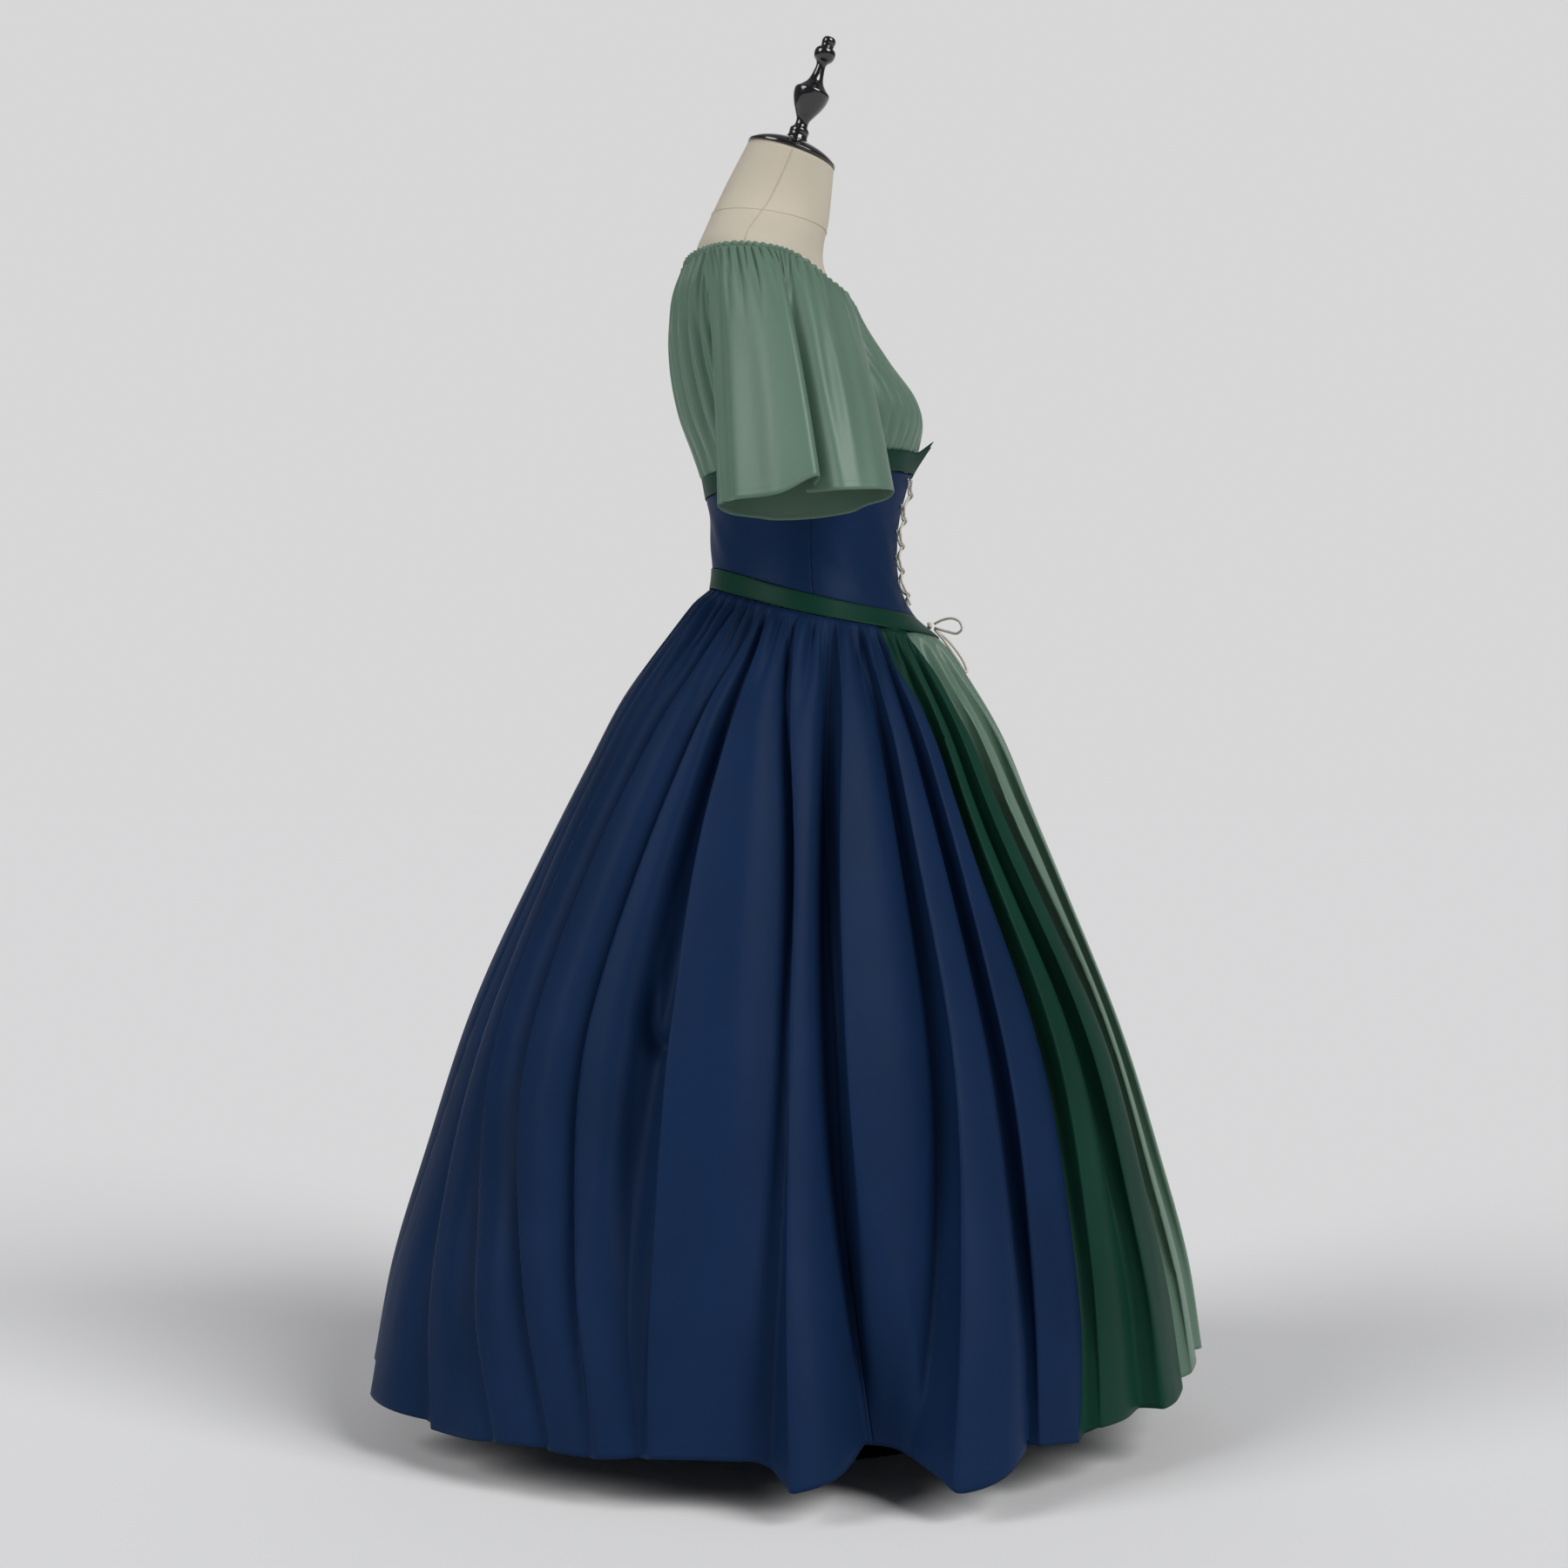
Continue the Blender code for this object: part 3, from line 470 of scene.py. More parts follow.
def add_piece(name: str, mesh: bpy.types.Mesh, finish: Any, replaced: Iterable[str] = (),
              stitches: tuple[float, ...] = ()) -> bpy.types.Object:
    """Put a mesh in the scene as a piece that rides on the gown.

    Args:
        name: Piece's name.
        mesh: Its mesh, in the row frame.
        finish: Its finish.
        replaced: Nodes that it stands for.
        stitches: Rows of stitches along its edges.

    Returns:
        The piece.
    """
    mesh.materials.append(WARDROBE.of(finish, stitches))
    mesh.shade_smooth()
    made = link(name, mesh)
    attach(made, ROOT)
    if replaced:
        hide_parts(*replaced)
    LOG.info("%s: %d faces", name, len(mesh.polygons))
    return made


def grid_mesh(name: str, surface: Surface, columns: int, rows: int, size: tuple[float, float],
              join: bool = False) -> bpy.types.Mesh:
    """Grid whose points are placed by a surface, with its cloth's own lengths as UVs.

    Args:
        name: Mesh's name.
        surface: Gives points from shares across and up.
        columns: Faces across.
        rows: Faces up.
        size: Cloth's width and length in metres, for its threads.
        join: True where the grid closes on itself.

    Returns:
        The mesh.
    """
    grid = bmesh.new()
    bmesh.ops.create_grid(grid, x_segments=columns, y_segments=rows, size=0.5)
    across = np.array([vertex.co.x + 0.5 for vertex in grid.verts])
    up = np.array([vertex.co.y + 0.5 for vertex in grid.verts])
    places = surface(across, up)
    low = grid.loops.layers.uv.new("UVMap")
    top = grid.loops.layers.uv.new("from_top")
    width, length = size
    for face in grid.faces:
        for loop in face.loops:
            spot = loop.vert.co
            side = (spot.x + 0.5) * width
            loop[low].uv = (side, (spot.y + 0.5) * length)
            loop[top].uv = (side, (0.5 - spot.y) * length)
    for vertex, place in zip(grid.verts, places):
        vertex.co = place
    if join:
        bmesh.ops.remove_doubles(grid, verts=grid.verts, dist=WELD)
    return to_mesh(name, grid)


@dataclass
class ClothPiece:
    """One cut piece of cloth, made as a thin wall on its worn surface.

    The piece stands for the node of its own name.
    """

    name: str
    surface: Surface
    dye: Dye
    columns: int
    rows: int
    cut: tuple[float, float]
    held: str = "gathered"
    area: Optional[float] = None
    rests_on: tuple[str, ...] = ()
    stitches: tuple[float, ...] = ()
    join: bool = False
    wall: float = 1.0 * MM

    def build(self) -> None:
        name = "worn_" + self.name
        mesh = grid_mesh(name, self.surface, self.columns, self.rows, self.cut, self.join)
        made = add_piece(name, mesh, self.dye.value, [self.name], self.stitches)
        wall = made.modifiers.new("wall", "SOLIDIFY")
        wall.thickness = self.wall
        wall.offset = -1.0


def build_all(pieces: Iterable[ClothPiece]) -> None:
    """Build pieces in order."""
    for piece in pieces:
        piece.build()


# The body that the gown is cut for
@dataclass(frozen=True)
class BodySection:
    """Level section of the bodice's outer face."""

    height: float
    half_width: float
    back: float
    front: float


@dataclass
class Figure:
    """Outer face of the bodice and blouse, and the heights of their seams."""

    sections: tuple[BodySection, ...] = (
        BodySection(0.885, 0.155, 0.122, -0.172),
        BodySection(0.897, 0.149, 0.117, -0.162),
        BodySection(0.915, 0.140, 0.110, -0.141),
        BodySection(0.935, 0.130, 0.104, -0.127),
        BodySection(0.965, 0.121, 0.098, -0.117),
        BodySection(1.000, 0.118, 0.098, -0.1155),
        BodySection(1.030, 0.120, 0.100, -0.118),
        BodySection(1.060, 0.125, 0.105, -0.125),
        BodySection(1.085, 0.130, 0.110, -0.131),
        BodySection(1.110, 0.137, 0.118, -0.138),
        BodySection(1.140, 0.145, 0.129, -0.142),
        BodySection(1.170, 0.152, 0.136, -0.134),
        BodySection(1.210, 0.160, 0.142, -0.106),
        BodySection(1.250, 0.168, 0.144, -0.080),
        BodySection(1.290, 0.172, 0.139, -0.062),
        BodySection(1.315, 0.170, 0.130, -0.058),
    )
    front_edge: float = 171.0
    side_seam: float = 93.0
    waist_band_height: float = 0.0225
    underbust_band_height: float = 0.0225
    corner_rise: float = 0.014
    flare: float = 0.011
    bust_fullness: float = 0.009
    neck_scoop: float = 0.013
    blouse_tuck: float = 0.0032

    def face(self, turn: np.ndarray, height: np.ndarray, out: Any = 0.0) -> np.ndarray:
        """Points on the outer face.

        Args:
            turn: Turns round the gown.
            height: Heights above the floor.
            out: How far to move them out of the face.

        Returns:
            The points, a row each.
        """
        half_width, back, front = (
            read_table(self.sections, "height", name, height)
            for name in ("half_width", "back", "front"))
        half_depth = (back - front) / 2
        angle = np.radians(turn)
        across = -np.sin(angle)
        along = np.cos(angle)
        normal = np.hypot(across / half_width, along / half_depth)
        cup = ((np.abs(turn) - 146) / 20) ** 2 + ((height - 1.145) / 0.034) ** 2
        lift = (out + self.bust_fullness * np.exp(-cup)) / normal
        x = across * (half_width + lift / half_width)
        y = (back + front) / 2 + along * (half_depth + lift / half_depth)
        return np.column_stack((x, y, np.broadcast_to(height, np.shape(turn))))

    def waist_low(self, turn: np.ndarray) -> np.ndarray:
        """Height of the waist band's lower edge."""
        angle = np.radians(turn)
        return 0.9255 + 0.0285 * np.cos(angle) - 0.0085 * np.sin(angle) ** 2

    def waist_high(self, turn: np.ndarray) -> np.ndarray:
        """Height of the waist band's upper edge, which falls to a point at the front."""
        point = ramp(np.abs(turn), 160, 180)
        return self.waist_low(turn) + self.waist_band_height * (1 - 0.7 * point)

    def front_corner(self, turn: np.ndarray, low: float = 156.0) -> np.ndarray:
        """0 round the bodice, rising to 1 at its laced front edges."""
        return np.clip((np.abs(turn) - low) / (self.front_edge - low), 0.0, 1.0) ** 2

    def underbust_low(self, turn: np.ndarray) -> np.ndarray:
        """Height of the underbust band's lower edge."""
        return 1.0695 - 0.0135 * np.cos(np.radians(turn))

    def underbust_high(self, turn: np.ndarray) -> np.ndarray:
        """Height of the underbust band's upper edge, which rises to its front corners."""
        corner = self.corner_rise * self.front_corner(turn, 163.0)
        return self.underbust_low(turn) + self.underbust_band_height + corner

    def corner_flare(self, turn: np.ndarray, height: np.ndarray) -> np.ndarray:
        """How far the top front corners of the corset stand forward."""
        reach = np.clip((height - 1.055) / 0.055, 0.0, 1.4) ** 2
        return self.flare * self.front_corner(turn) * reach

    def neck_height(self, turn: np.ndarray) -> np.ndarray:
        """Height of the neckline's middle."""
        angle = np.radians(turn)
        scoop = self.neck_scoop * ramp(np.abs(turn), 100, 150)
        return 1.3035 + 0.0155 * np.cos(angle) + 0.008 * np.sin(angle) ** 2 - scoop


FIGURE = Figure()


@dataclass
class Blouse:
    """Off-shoulder blouse: body panels, gathered neck casing and flared sleeves."""

    figure: Figure = field(default_factory=lambda: FIGURE)
    underarm_turn: float = 92.0
    raglan_back_turn: float = 50.0
    raglan_front_turn: float = 150.0
    underarm_height: float = 1.178
    casing_half_height: float = 0.0040
    casing_half_wall: float = 0.0010
    tuck_under: float = 0.0015
    body_clear: float = 0.0055
    neck_half_width: float = 0.172
    neck_back: float = 0.130
    neck_front: float = -0.060
    back_folds: Gathers = Gathers(10.4, 0.0185, 40)
    back_creases: Gathers = Gathers(5.3, 0.0040, 110)
    front_gathers: Gathers = Gathers(6.0, 0.0075, 10)
    band_gathers: Gathers = Gathers(3.9, 0.0024, 20)
    neck_depth: float = 0.0055
    casing_depth: float = 0.0030
    casing_rise: float = 0.0014

    def ruffle(self, turn: np.ndarray) -> np.ndarray:
        """Uneven gathers of the neckline, from 0 in a hollow to 1 on a crest."""
        phase = turn / 4.6 + 0.35 * np.sin(np.radians(7.3 * turn)) + 0.2 * np.sin(turn / 4.1)
        return np.abs(np.cos(math.pi * phase))

    def top(self, turn: np.ndarray) -> np.ndarray:
        """Upper edge of the body panels: the neckline, scooped under each sleeve."""
        side = np.abs(turn)
        reach = np.where(side < self.underarm_turn, self.underarm_turn - self.raglan_back_turn,
                         self.raglan_front_turn - self.underarm_turn)
        share = np.clip(np.abs(side - self.underarm_turn) / reach, 0.0, 1.0) ** 2.4
        neck = self.figure.neck_height(turn) - self.tuck_under
        return self.underarm_height + (neck - self.underarm_height) * share

    def panel(self, start: float, end: float) -> Surface:
        """Surface of a body panel between two turns."""
        def surface(across: np.ndarray, rise: np.ndarray) -> np.ndarray:
            turn = half_turns(start + (end - start) * across)
            low = self.figure.underbust_low(turn)
            low = low + self.figure.underbust_band_height - self.figure.blouse_tuck
            height = low + (self.top(turn) - low) * rise
            hidden = 1 - ramp(height - low, 0.0, 2.5 * self.figure.blouse_tuck)
            return self.figure.face(turn, height, self.relief(turn, rise) -
                                    self.figure.blouse_tuck * hidden)
        return surface

    def relief(self, turn: np.ndarray, rise: np.ndarray) -> np.ndarray:
        """How far the blouse's gathers stand out."""
        side = np.abs(turn)
        behind = ramp(-side, -88, -66)
        before = ramp(side, 100, 125)
        settle = 0.35 + 0.65 * np.sin(math.pi * np.clip(rise, 0.03, 0.97))
        bend = 5.0 * np.sin(2.4 * rise + 0.5)
        long_folds = self.back_folds.at(turn + bend) * behind
        fine_folds = self.back_creases.at(turn - 0.6 * bend) * behind
        fan = (turn - np.sign(turn) * 150) * (0.75 + 0.25 * rise)
        front_folds = self.front_gathers.at(fan) * before * (0.25 + 0.75 * np.abs(2 * rise - 1))
        at_neck = self.neck_depth * (self.ruffle(turn) - 0.75) * ramp(rise, 0.66, 1.0)
        at_band = self.band_gathers.at(turn) * ramp(-rise, -0.20, -0.03)
        folds = (long_folds + fine_folds + front_folds) * settle + at_neck + at_band
        return np.maximum(folds, -self.body_clear)

    def casing(self, across: np.ndarray, up: np.ndarray) -> np.ndarray:
        """Gathered elastic casing round the neckline, open along its inner side."""
        turn = across * 360
        angle = np.radians(turn)
        around = (up - 0.5) * math.radians(310)
        ruffle = self.ruffle(half_turns(turn))
        out = np.cos(around) * self.casing_half_wall + self.casing_depth * (ruffle - 0.75) - 0.0005
        rise = np.sin(around) * self.casing_half_height + self.casing_rise * (ruffle - 0.5)
        x = -np.sin(angle) * (self.neck_half_width + out)
        middle = (self.neck_back + self.neck_front) / 2
        y = middle + np.cos(angle) * ((self.neck_back - self.neck_front) / 2 + out)
        return np.column_stack((x, y, self.figure.neck_height(half_turns(turn)) + rise))

    def build(self) -> None:
        """Build the blouse's body and casing."""
        build_all([
            ClothPiece("blouse_back", self.panel(-90, 90), Dye.SAGE, 280, 60, (0.66, 0.24),
                       area=0.113),
            ClothPiece("blouse_front", self.panel(90.4, 269.6), Dye.SAGE, 240, 54, (0.56, 0.20),
                       area=0.072),
            ClothPiece("neck_casing", self.casing, Dye.SAGE, 480, 10, (1.00, 0.013), join=True,
                       wall=0.6 * MM),
        ])


@dataclass(frozen=True)
class SleeveFold:
    """Hollow down a sleeve: its turn round the sleeve, depths in mm and half width."""

    turn: float
    quarter_mm: float
    half_mm: float
    hem_mm: float
    spread: float


FALL_ROWS = (0.0, 0.25, 0.5, 1.0)


@dataclass
class Sleeve:
    """Short flared sleeve; a turn round it is 0 outside and 90 at the back."""

    side: int
    nudge: float
    blouse: Blouse = field(default_factory=Blouse)
    hem_middle: tuple[float, float, float] = (-0.2255, -0.008, 1.034)
    hem_half_width: float = 0.0695
    hem_half_depth: float = 0.093
    hem_outer_rise: float = -0.002
    hem_inner_drop: float = 0.016
    hem_back_drop: float = 0.007
    corner: float = 70.0
    folds: tuple[SleeveFold, ...] = (
        SleeveFold(-12, 16, 26, 34, 15),
        SleeveFold(-46, 9, 5, 1, 11),
        SleeveFold(-30, 3, 6, 0, 9),
        SleeveFold(34, 1, 3, 4, 18),
        SleeveFold(62, 4, 4, 3, 10),
        SleeveFold(82, 6, 7, 7, 9),
        SleeveFold(-130, 2, 5, 9, 20),
        SleeveFold(140, 2, 5, 9, 20),
    )
    lap_turn: float = -7.0
    lap_spread: float = 17.0
    lap_depth: float = 0.046
    lap_rise: float = 0.017
    swell: float = 0.010
    bunching: float = 26.0
    seam_drop: float = 0.0035
    seam_lift: float = 0.0028
    ruffle_depth: float = 0.0075
    neck_gathers: Gathers = Gathers(13.0, 0.0070, 30)

    @property
    def name(self) -> str:
        """Name of the node that the sleeve stands for."""
        return "sleeve_right" if self.side > 0 else "sleeve_left"

    def neck_turn(self, turn: np.ndarray) -> np.ndarray:
        """Turn round the neckline that a turn round the sleeve's top lies at."""
        blouse = self.blouse
        reach = np.where(turn > 0, blouse.raglan_back_turn, blouse.raglan_front_turn)
        share = np.clip(np.abs(turn) / self.corner, 0.0, 1.0)
        return blouse.underarm_turn + (reach - blouse.underarm_turn) * share

    def top(self, turn: np.ndarray) -> np.ndarray:
        """Seam round the sleeve's top: the neckline, then the raglan lines."""
        blouse = self.blouse
        side = np.abs(turn)
        on_raglan = np.clip((side - self.corner) / (180 - self.corner), 0.0, 1.0)
        neck_turn = self.neck_turn(turn)
        body_turn = neck_turn + (blouse.underarm_turn - neck_turn) * on_raglan
        height = np.where(side < self.corner,
                          blouse.figure.neck_height(body_turn) - blouse.tuck_under,
                          blouse.top(body_turn) - self.seam_drop)
        return blouse.figure.face(body_turn, height, self.seam_lift)

    def surface(self, across: np.ndarray, up: np.ndarray) -> np.ndarray:
        """Points of the sleeve from shares round it and up it."""
        around = (across - 0.5) * 2
        turn = self.side * (180 * around - self.bunching * np.sin(math.pi * around))
        fall = 1 - up
        angle = np.radians(turn)
        out = np.column_stack((-np.cos(angle), np.sin(angle), np.zeros_like(angle)))
        hem = np.array(self.hem_middle) + out * (self.hem_half_width, self.hem_half_depth, 0)
        tilt = np.where(np.cos(angle) > 0, self.hem_outer_rise, self.hem_inner_drop)
        hem[:, 2] += tilt * np.cos(angle) - self.hem_back_drop * np.sin(angle)
        near_lap = (turn - self.lap_turn - self.nudge - 8) / 10
        hem[:, 2] += self.lap_rise * np.exp(-near_lap * near_lap)
        top = self.top(turn)
        level = fall[:, None]
        share = np.hstack((level ** 0.85, level ** 0.85, level ** 1.12))
        place = top + (hem - top) * share
        place[:, 0] -= self.swell * np.clip(np.cos(angle), 0.0, 1.0) * np.sin(math.pi * fall)
        place -= out * self.relief(turn, fall)[:, None]
        place[:, 1] -= self.lap(turn, fall)
        place[:, 0] *= self.side
        return place

    def lap(self, turn: np.ndarray, fall: np.ndarray) -> np.ndarray:
        """How far the cloth beside the deep fold moves forward, so that one lobe laps it."""
        away = (turn - self.lap_turn - self.nudge) / self.lap_spread
        return self.lap_depth * fall ** 0.6 * away * np.exp(-2.2 * away * away)

    def relief(self, turn: np.ndarray, fall: np.ndarray) -> np.ndarray:
        """Depth of the sleeve's folds and of the gathers under its casing."""
        depth = np.zeros_like(fall)
        for fold in self.folds:
            depths = (0.0, fold.quarter_mm, fold.half_mm, fold.hem_mm)
            away = (turn - fold.turn - self.nudge) / fold.spread
            depth += through(FALL_ROWS, depths, fall) * MM * hollow(away)
        ruffle = self.blouse.ruffle(self.neck_turn(turn)) - 0.75
        ruffle = self.ruffle_depth * ruffle * ramp(-fall, -0.20, 0.0)
        long_gathers = self.neck_gathers.at(turn) * ramp(-fall, -0.40, -0.05)
        on_neck = ramp(-np.abs(turn), -self.corner - 10, -self.corner + 12)
        return depth - (ruffle + long_gathers * ramp(fall, 0.0, 0.12)) * on_neck

    def build(self) -> None:
        """Build the sleeve."""
        ClothPiece(
            self.name, self.surface, Dye.SAGE, 180, 72, (0.62, 0.27), held="hung", area=0.125,
            rests_on=("neck_casing",), stitches=(8 * MM,), join=True).build()


@dataclass
class Bodice:
    """Laced corset with its two bands and the panel behind its lacing."""

    figure: Figure = field(default_factory=lambda: FIGURE)
    band_lift: float = 0.0012
    panel_depth: float = 0.0044
    crease_depth: float = 0.0012

    def between(self, start: float, end: float, low: Callable, high: Callable,
                lift: float, creased: bool = False) -> Surface:
        """Surface of a strip or panel between two turns and two edges.

        Args:
            start: First turn.
            end: Last turn.
            low: Height of the lower edge by turn.
            high: Height of the upper edge by turn.
            lift: How far it lies outside the bodice's face.
            creased: True for a panel with soft slanting creases.

        Returns:
            The surface.
        """
        def surface(across: np.ndarray, up: np.ndarray) -> np.ndarray:
            turn = start + (end - start) * across
            bottom = low(turn)
            height = bottom + (high(turn) - bottom) * up
            out = lift + self.figure.corner_flare(turn, height)
            if creased:
                inside = np.sin(math.pi * np.clip(up, 0, 1)) * np.sin(math.pi * across)
                slant = turn / 9.0 + height * 46.0
                pull = np.sin(slant) * np.sin(turn / 17.0 + 1.3) + 0.5 * np.sin(2.3 * slant + 2)
                out = out + self.crease_depth * inside * pull
            return self.figure.face(turn, height, out)
        return surface

    def lacing_panel(self, across: np.ndarray, up: np.ndarray) -> np.ndarray:
        """Panel that shows between the laced edges."""
        turn = half_turns(161 + 38 * across)
        low = self.figure.waist_high(turn) + 0.002
        high = self.figure.underbust_low(turn) + self.figure.underbust_band_height
        high = high - self.figure.blouse_tuck - 2 * SEAM_GAP
        return self.figure.face(turn, low + (high - low) * up, -self.panel_depth)

    def build(self) -> None:
        """Build the corset, its bands and its lacing panel."""
        figure = self.figure
        edge = figure.front_edge
        seam = figure.side_seam

        def low(turn: np.ndarray) -> np.ndarray:
            return figure.waist_high(turn) + SEAM_GAP

        def high(turn: np.ndarray) -> np.ndarray:
            return figure.underbust_low(turn) - SEAM_GAP

        stretched = {"held": "stretched", "rests_on": ("form_torso",)}
        sewn = {"stitches": (2.2 * MM, -2.2 * MM), **stretched}
        back = self.between(-seam, seam, low, high, 0.0, creased=True)
        right = self.between(seam + 0.3, edge, low, high, 0.0, creased=True)
        left = self.between(-edge, -seam - 0.3, low, high, 0.0, creased=True)
        bust_band = self.between(-edge, edge, figure.underbust_low, figure.underbust_high,
                                 self.band_lift)
        band = self.between(-179.8, 179.8, figure.waist_low, figure.waist_high, self.band_lift)
        build_all([
            ClothPiece("corset_back", back, Dye.NAVY, 150, 50, (0.37, 0.10), **stretched),
            ClothPiece("corset_front_right", right, Dye.NAVY, 90, 56, (0.17, 0.15), area=0.0235,
                       **stretched),
            ClothPiece("corset_front_left", left, Dye.NAVY, 90, 56, (0.17, 0.15), area=0.0235,
                       **stretched),
            ClothPiece("underbust_band", bust_band, Dye.GREEN, 360, 10, (0.76, 0.0225), **sewn),
            ClothPiece("waist_band", band, Dye.GREEN, 400, 10, (0.83, 0.0225), **sewn),
            ClothPiece("lacing_panel", self.lacing_panel, Dye.GREEN, 40, 60, (0.09, 0.19),
                       **stretched),
        ])


@dataclass(frozen=True)
class Lobe:
    """Fold of the skirt between a sharp edge nearer the back and a soft one nearer the front.

    Its two edges are turns and its depths are in mm, each at the falls of FALL_ROWS. A lobe with
    its crown in the middle, at 0.5, doesn't lean.
    """

    sharp: tuple[float, float, float, float]
    soft: tuple[float, float, float, float]
    depth: tuple[float, float, float, float]
    crown: float = 0.26


@dataclass(frozen=True)
class Trough:
    """Hollow of the skirt: its turns and depths in mm by fall, and its half widths."""

    turns: tuple[float, float, float, float]
    depth: tuple[float, float, float, float]
    waist_spread: float
    hem_spread: float


@dataclass(frozen=True)
class SeamTurn:
    """Turns of the skirt's seams at a fall."""

    fall: float
    side: float
    navy: float
    green: float


@dataclass(frozen=True)
class Spread:
    """Share of the skirt's spread that is reached at a share of its fall."""

    fall: float
    share: float


@dataclass
class Skirt:
    """Full skirt of seven panels, pleated into the waist band."""

    figure: Figure = field(default_factory=lambda: FIGURE)
    hem_back: float = 0.479
    hem_front: float = -0.458
    hem_half_width: float = 0.418
    hem_height: float = 0.055
    waist_seam: float = 0.0011
    inset_tuck: float = 0.5
    inset_drop: float = 0.0030
    waist_clear: float = 0.002
    hip_share: float = 0.3
    crest_mm: tuple[float, ...] = (6.0, 20.0, 21.0, 14.0)
    overhang: tuple[float, ...] = (0.3, 1.05, 1.1, 0.5)
    lobes: tuple[Lobe, ...] = (
        Lobe((5, 3, 3, 4), (15, 12, 11, 13), (9, 18, 23, 14), 0.4),
        Lobe((16, 12, 11, 14), (27, 21, 20, 32), (9, 18, 20, 24), 0.46),
        Lobe((28, 21, 20, 34), (40, 31, 30, 48), (10, 21, 20, 12)),
        Lobe((41, 31, 30, 48), (51, 42, 40, 57), (10, 27, 30, 9)),
        Lobe((52, 43, 41, 57), (62, 55, 52, 64), (11, 30, 31, 8)),
        Lobe((63, 56, 53, 64), (69, 63, 61, 71), (8, 24, 25, 8), 0.35),
        Lobe((70, 69, 70, 71), (79, 88, 88, 86), (11, 38, 38, 12)),
        Lobe((80, 88, 89, 88), (96, 95, 95, 101), (11, 30, 24, 46), 0.42),
        Lobe((99, 98, 98, 100), (110, 113, 114, 107), (11, 40, 36, 6), 0.34),
        Lobe((111, 114, 115, 106), (118, 123, 125, 122), (11, 30, 38, 60), 0.36),
        Lobe((119, 124, 126, 122), (128, 132, 137, 132), (9, 26, 24, 14)),
        Lobe((128, 132, 137, 132), (134, 139, 147, 146), (9, 20, 25, 14)),
        Lobe((134, 139, 147, 146), (142, 149, 159, 161), (9, 22, 27, 17)),
        Lobe((143, 149, 159, 161), (154, 161, 168, 171), (9, 19, 21, 14), 0.4),
        Lobe((155, 161, 168, 171), (167, 173, 177, 179), (9, 18, 18, 12), 0.4),
        Lobe((168, 173, 176, 176), (192, 187, 184, 184), (9, 13, 12, 12), 0.5),
    )
    troughs: tuple[Trough, ...] = (
        Trough((66, 65.5, 64.5, 66), (1, 10, 14, 0), 4, 5),
        Trough((98, 96.5, 96.5, 102), (2, 8, 10, 42), 3, 7),
        Trough((0, 0, 0, 0), (0, 2, 4, 8), 4, 7),
    )
    seams: tuple[SeamTurn, ...] = (
        SeamTurn(0.00, 98, 120, 136),
        SeamTurn(0.10, 96.5, 125, 141),
        SeamTurn(0.20, 95.5, 129.5, 145.8),
        SeamTurn(0.35, 96, 134, 153.8),
        SeamTurn(0.50, 97, 136, 157.8),
        SeamTurn(0.75, 98.5, 135.5, 160),
        SeamTurn(1.00, 102, 130, 160.2),
    )
    spread: tuple[Spread, ...] = (
        Spread(0.00, 0.00),
        Spread(0.04, 0.08),
        Spread(0.13, 0.245),
        Spread(0.23, 0.372),
        Spread(0.38, 0.54),
        Spread(0.54, 0.70),
        Spread(0.73, 0.845),
        Spread(0.88, 0.95),
        Spread(1.00, 1.00),
    )
    pleat_gathers: Gathers = Gathers(7.4, 0.0240, 15)
    small_gathers: Gathers = Gathers(3.7, 0.0060, 60)
    hook_turn: float = 64.6
    hook_half_width: float = 3.2
    hook_fall: float = 0.500
    hook_drop: float = 0.041
    hook_depth: float = 0.011

    def relief(self, turn: np.ndarray, fall: np.ndarray) -> tuple[np.ndarray, np.ndarray]:
        """Shape of the skirt's folds.

        Args:
            turn: Turns round the skirt.
            fall: Falls down it.

        Returns:
            How far they stand out of its plain form, and how far they lean round it in degrees.
        """
        stand = np.zeros_like(fall)
        cut = np.zeros_like(fall)
        lean = np.zeros_like(fall)
        for side in (1, -1):
            near = (turn * side) % 360
            for index, lobe in enumerate(self.lobes):
                rise, tip = self.lobe(near, fall, lobe, index, side)
                stand = np.maximum(stand, rise)
                lean = np.where(np.abs(tip) > np.abs(lean), -side * tip, lean)
            for trough in self.troughs:
                spread = trough.waist_spread + (trough.hem_spread - trough.waist_spread) * fall
                away = (near - through(FALL_ROWS, trough.turns, fall) + 180) % 360 - 180
                depth = np.maximum(through(FALL_ROWS, trough.depth, fall), 0.0)
                cut = np.maximum(cut, depth * hollow(away / spread))
        crest = through(FALL_ROWS, self.crest_mm, fall)
        folds = (stand - crest - cut) * MM
        small = self.waist_gathers(turn, fall) + self.sway(turn, fall) + self.hook(turn, fall)
        return folds + small, lean

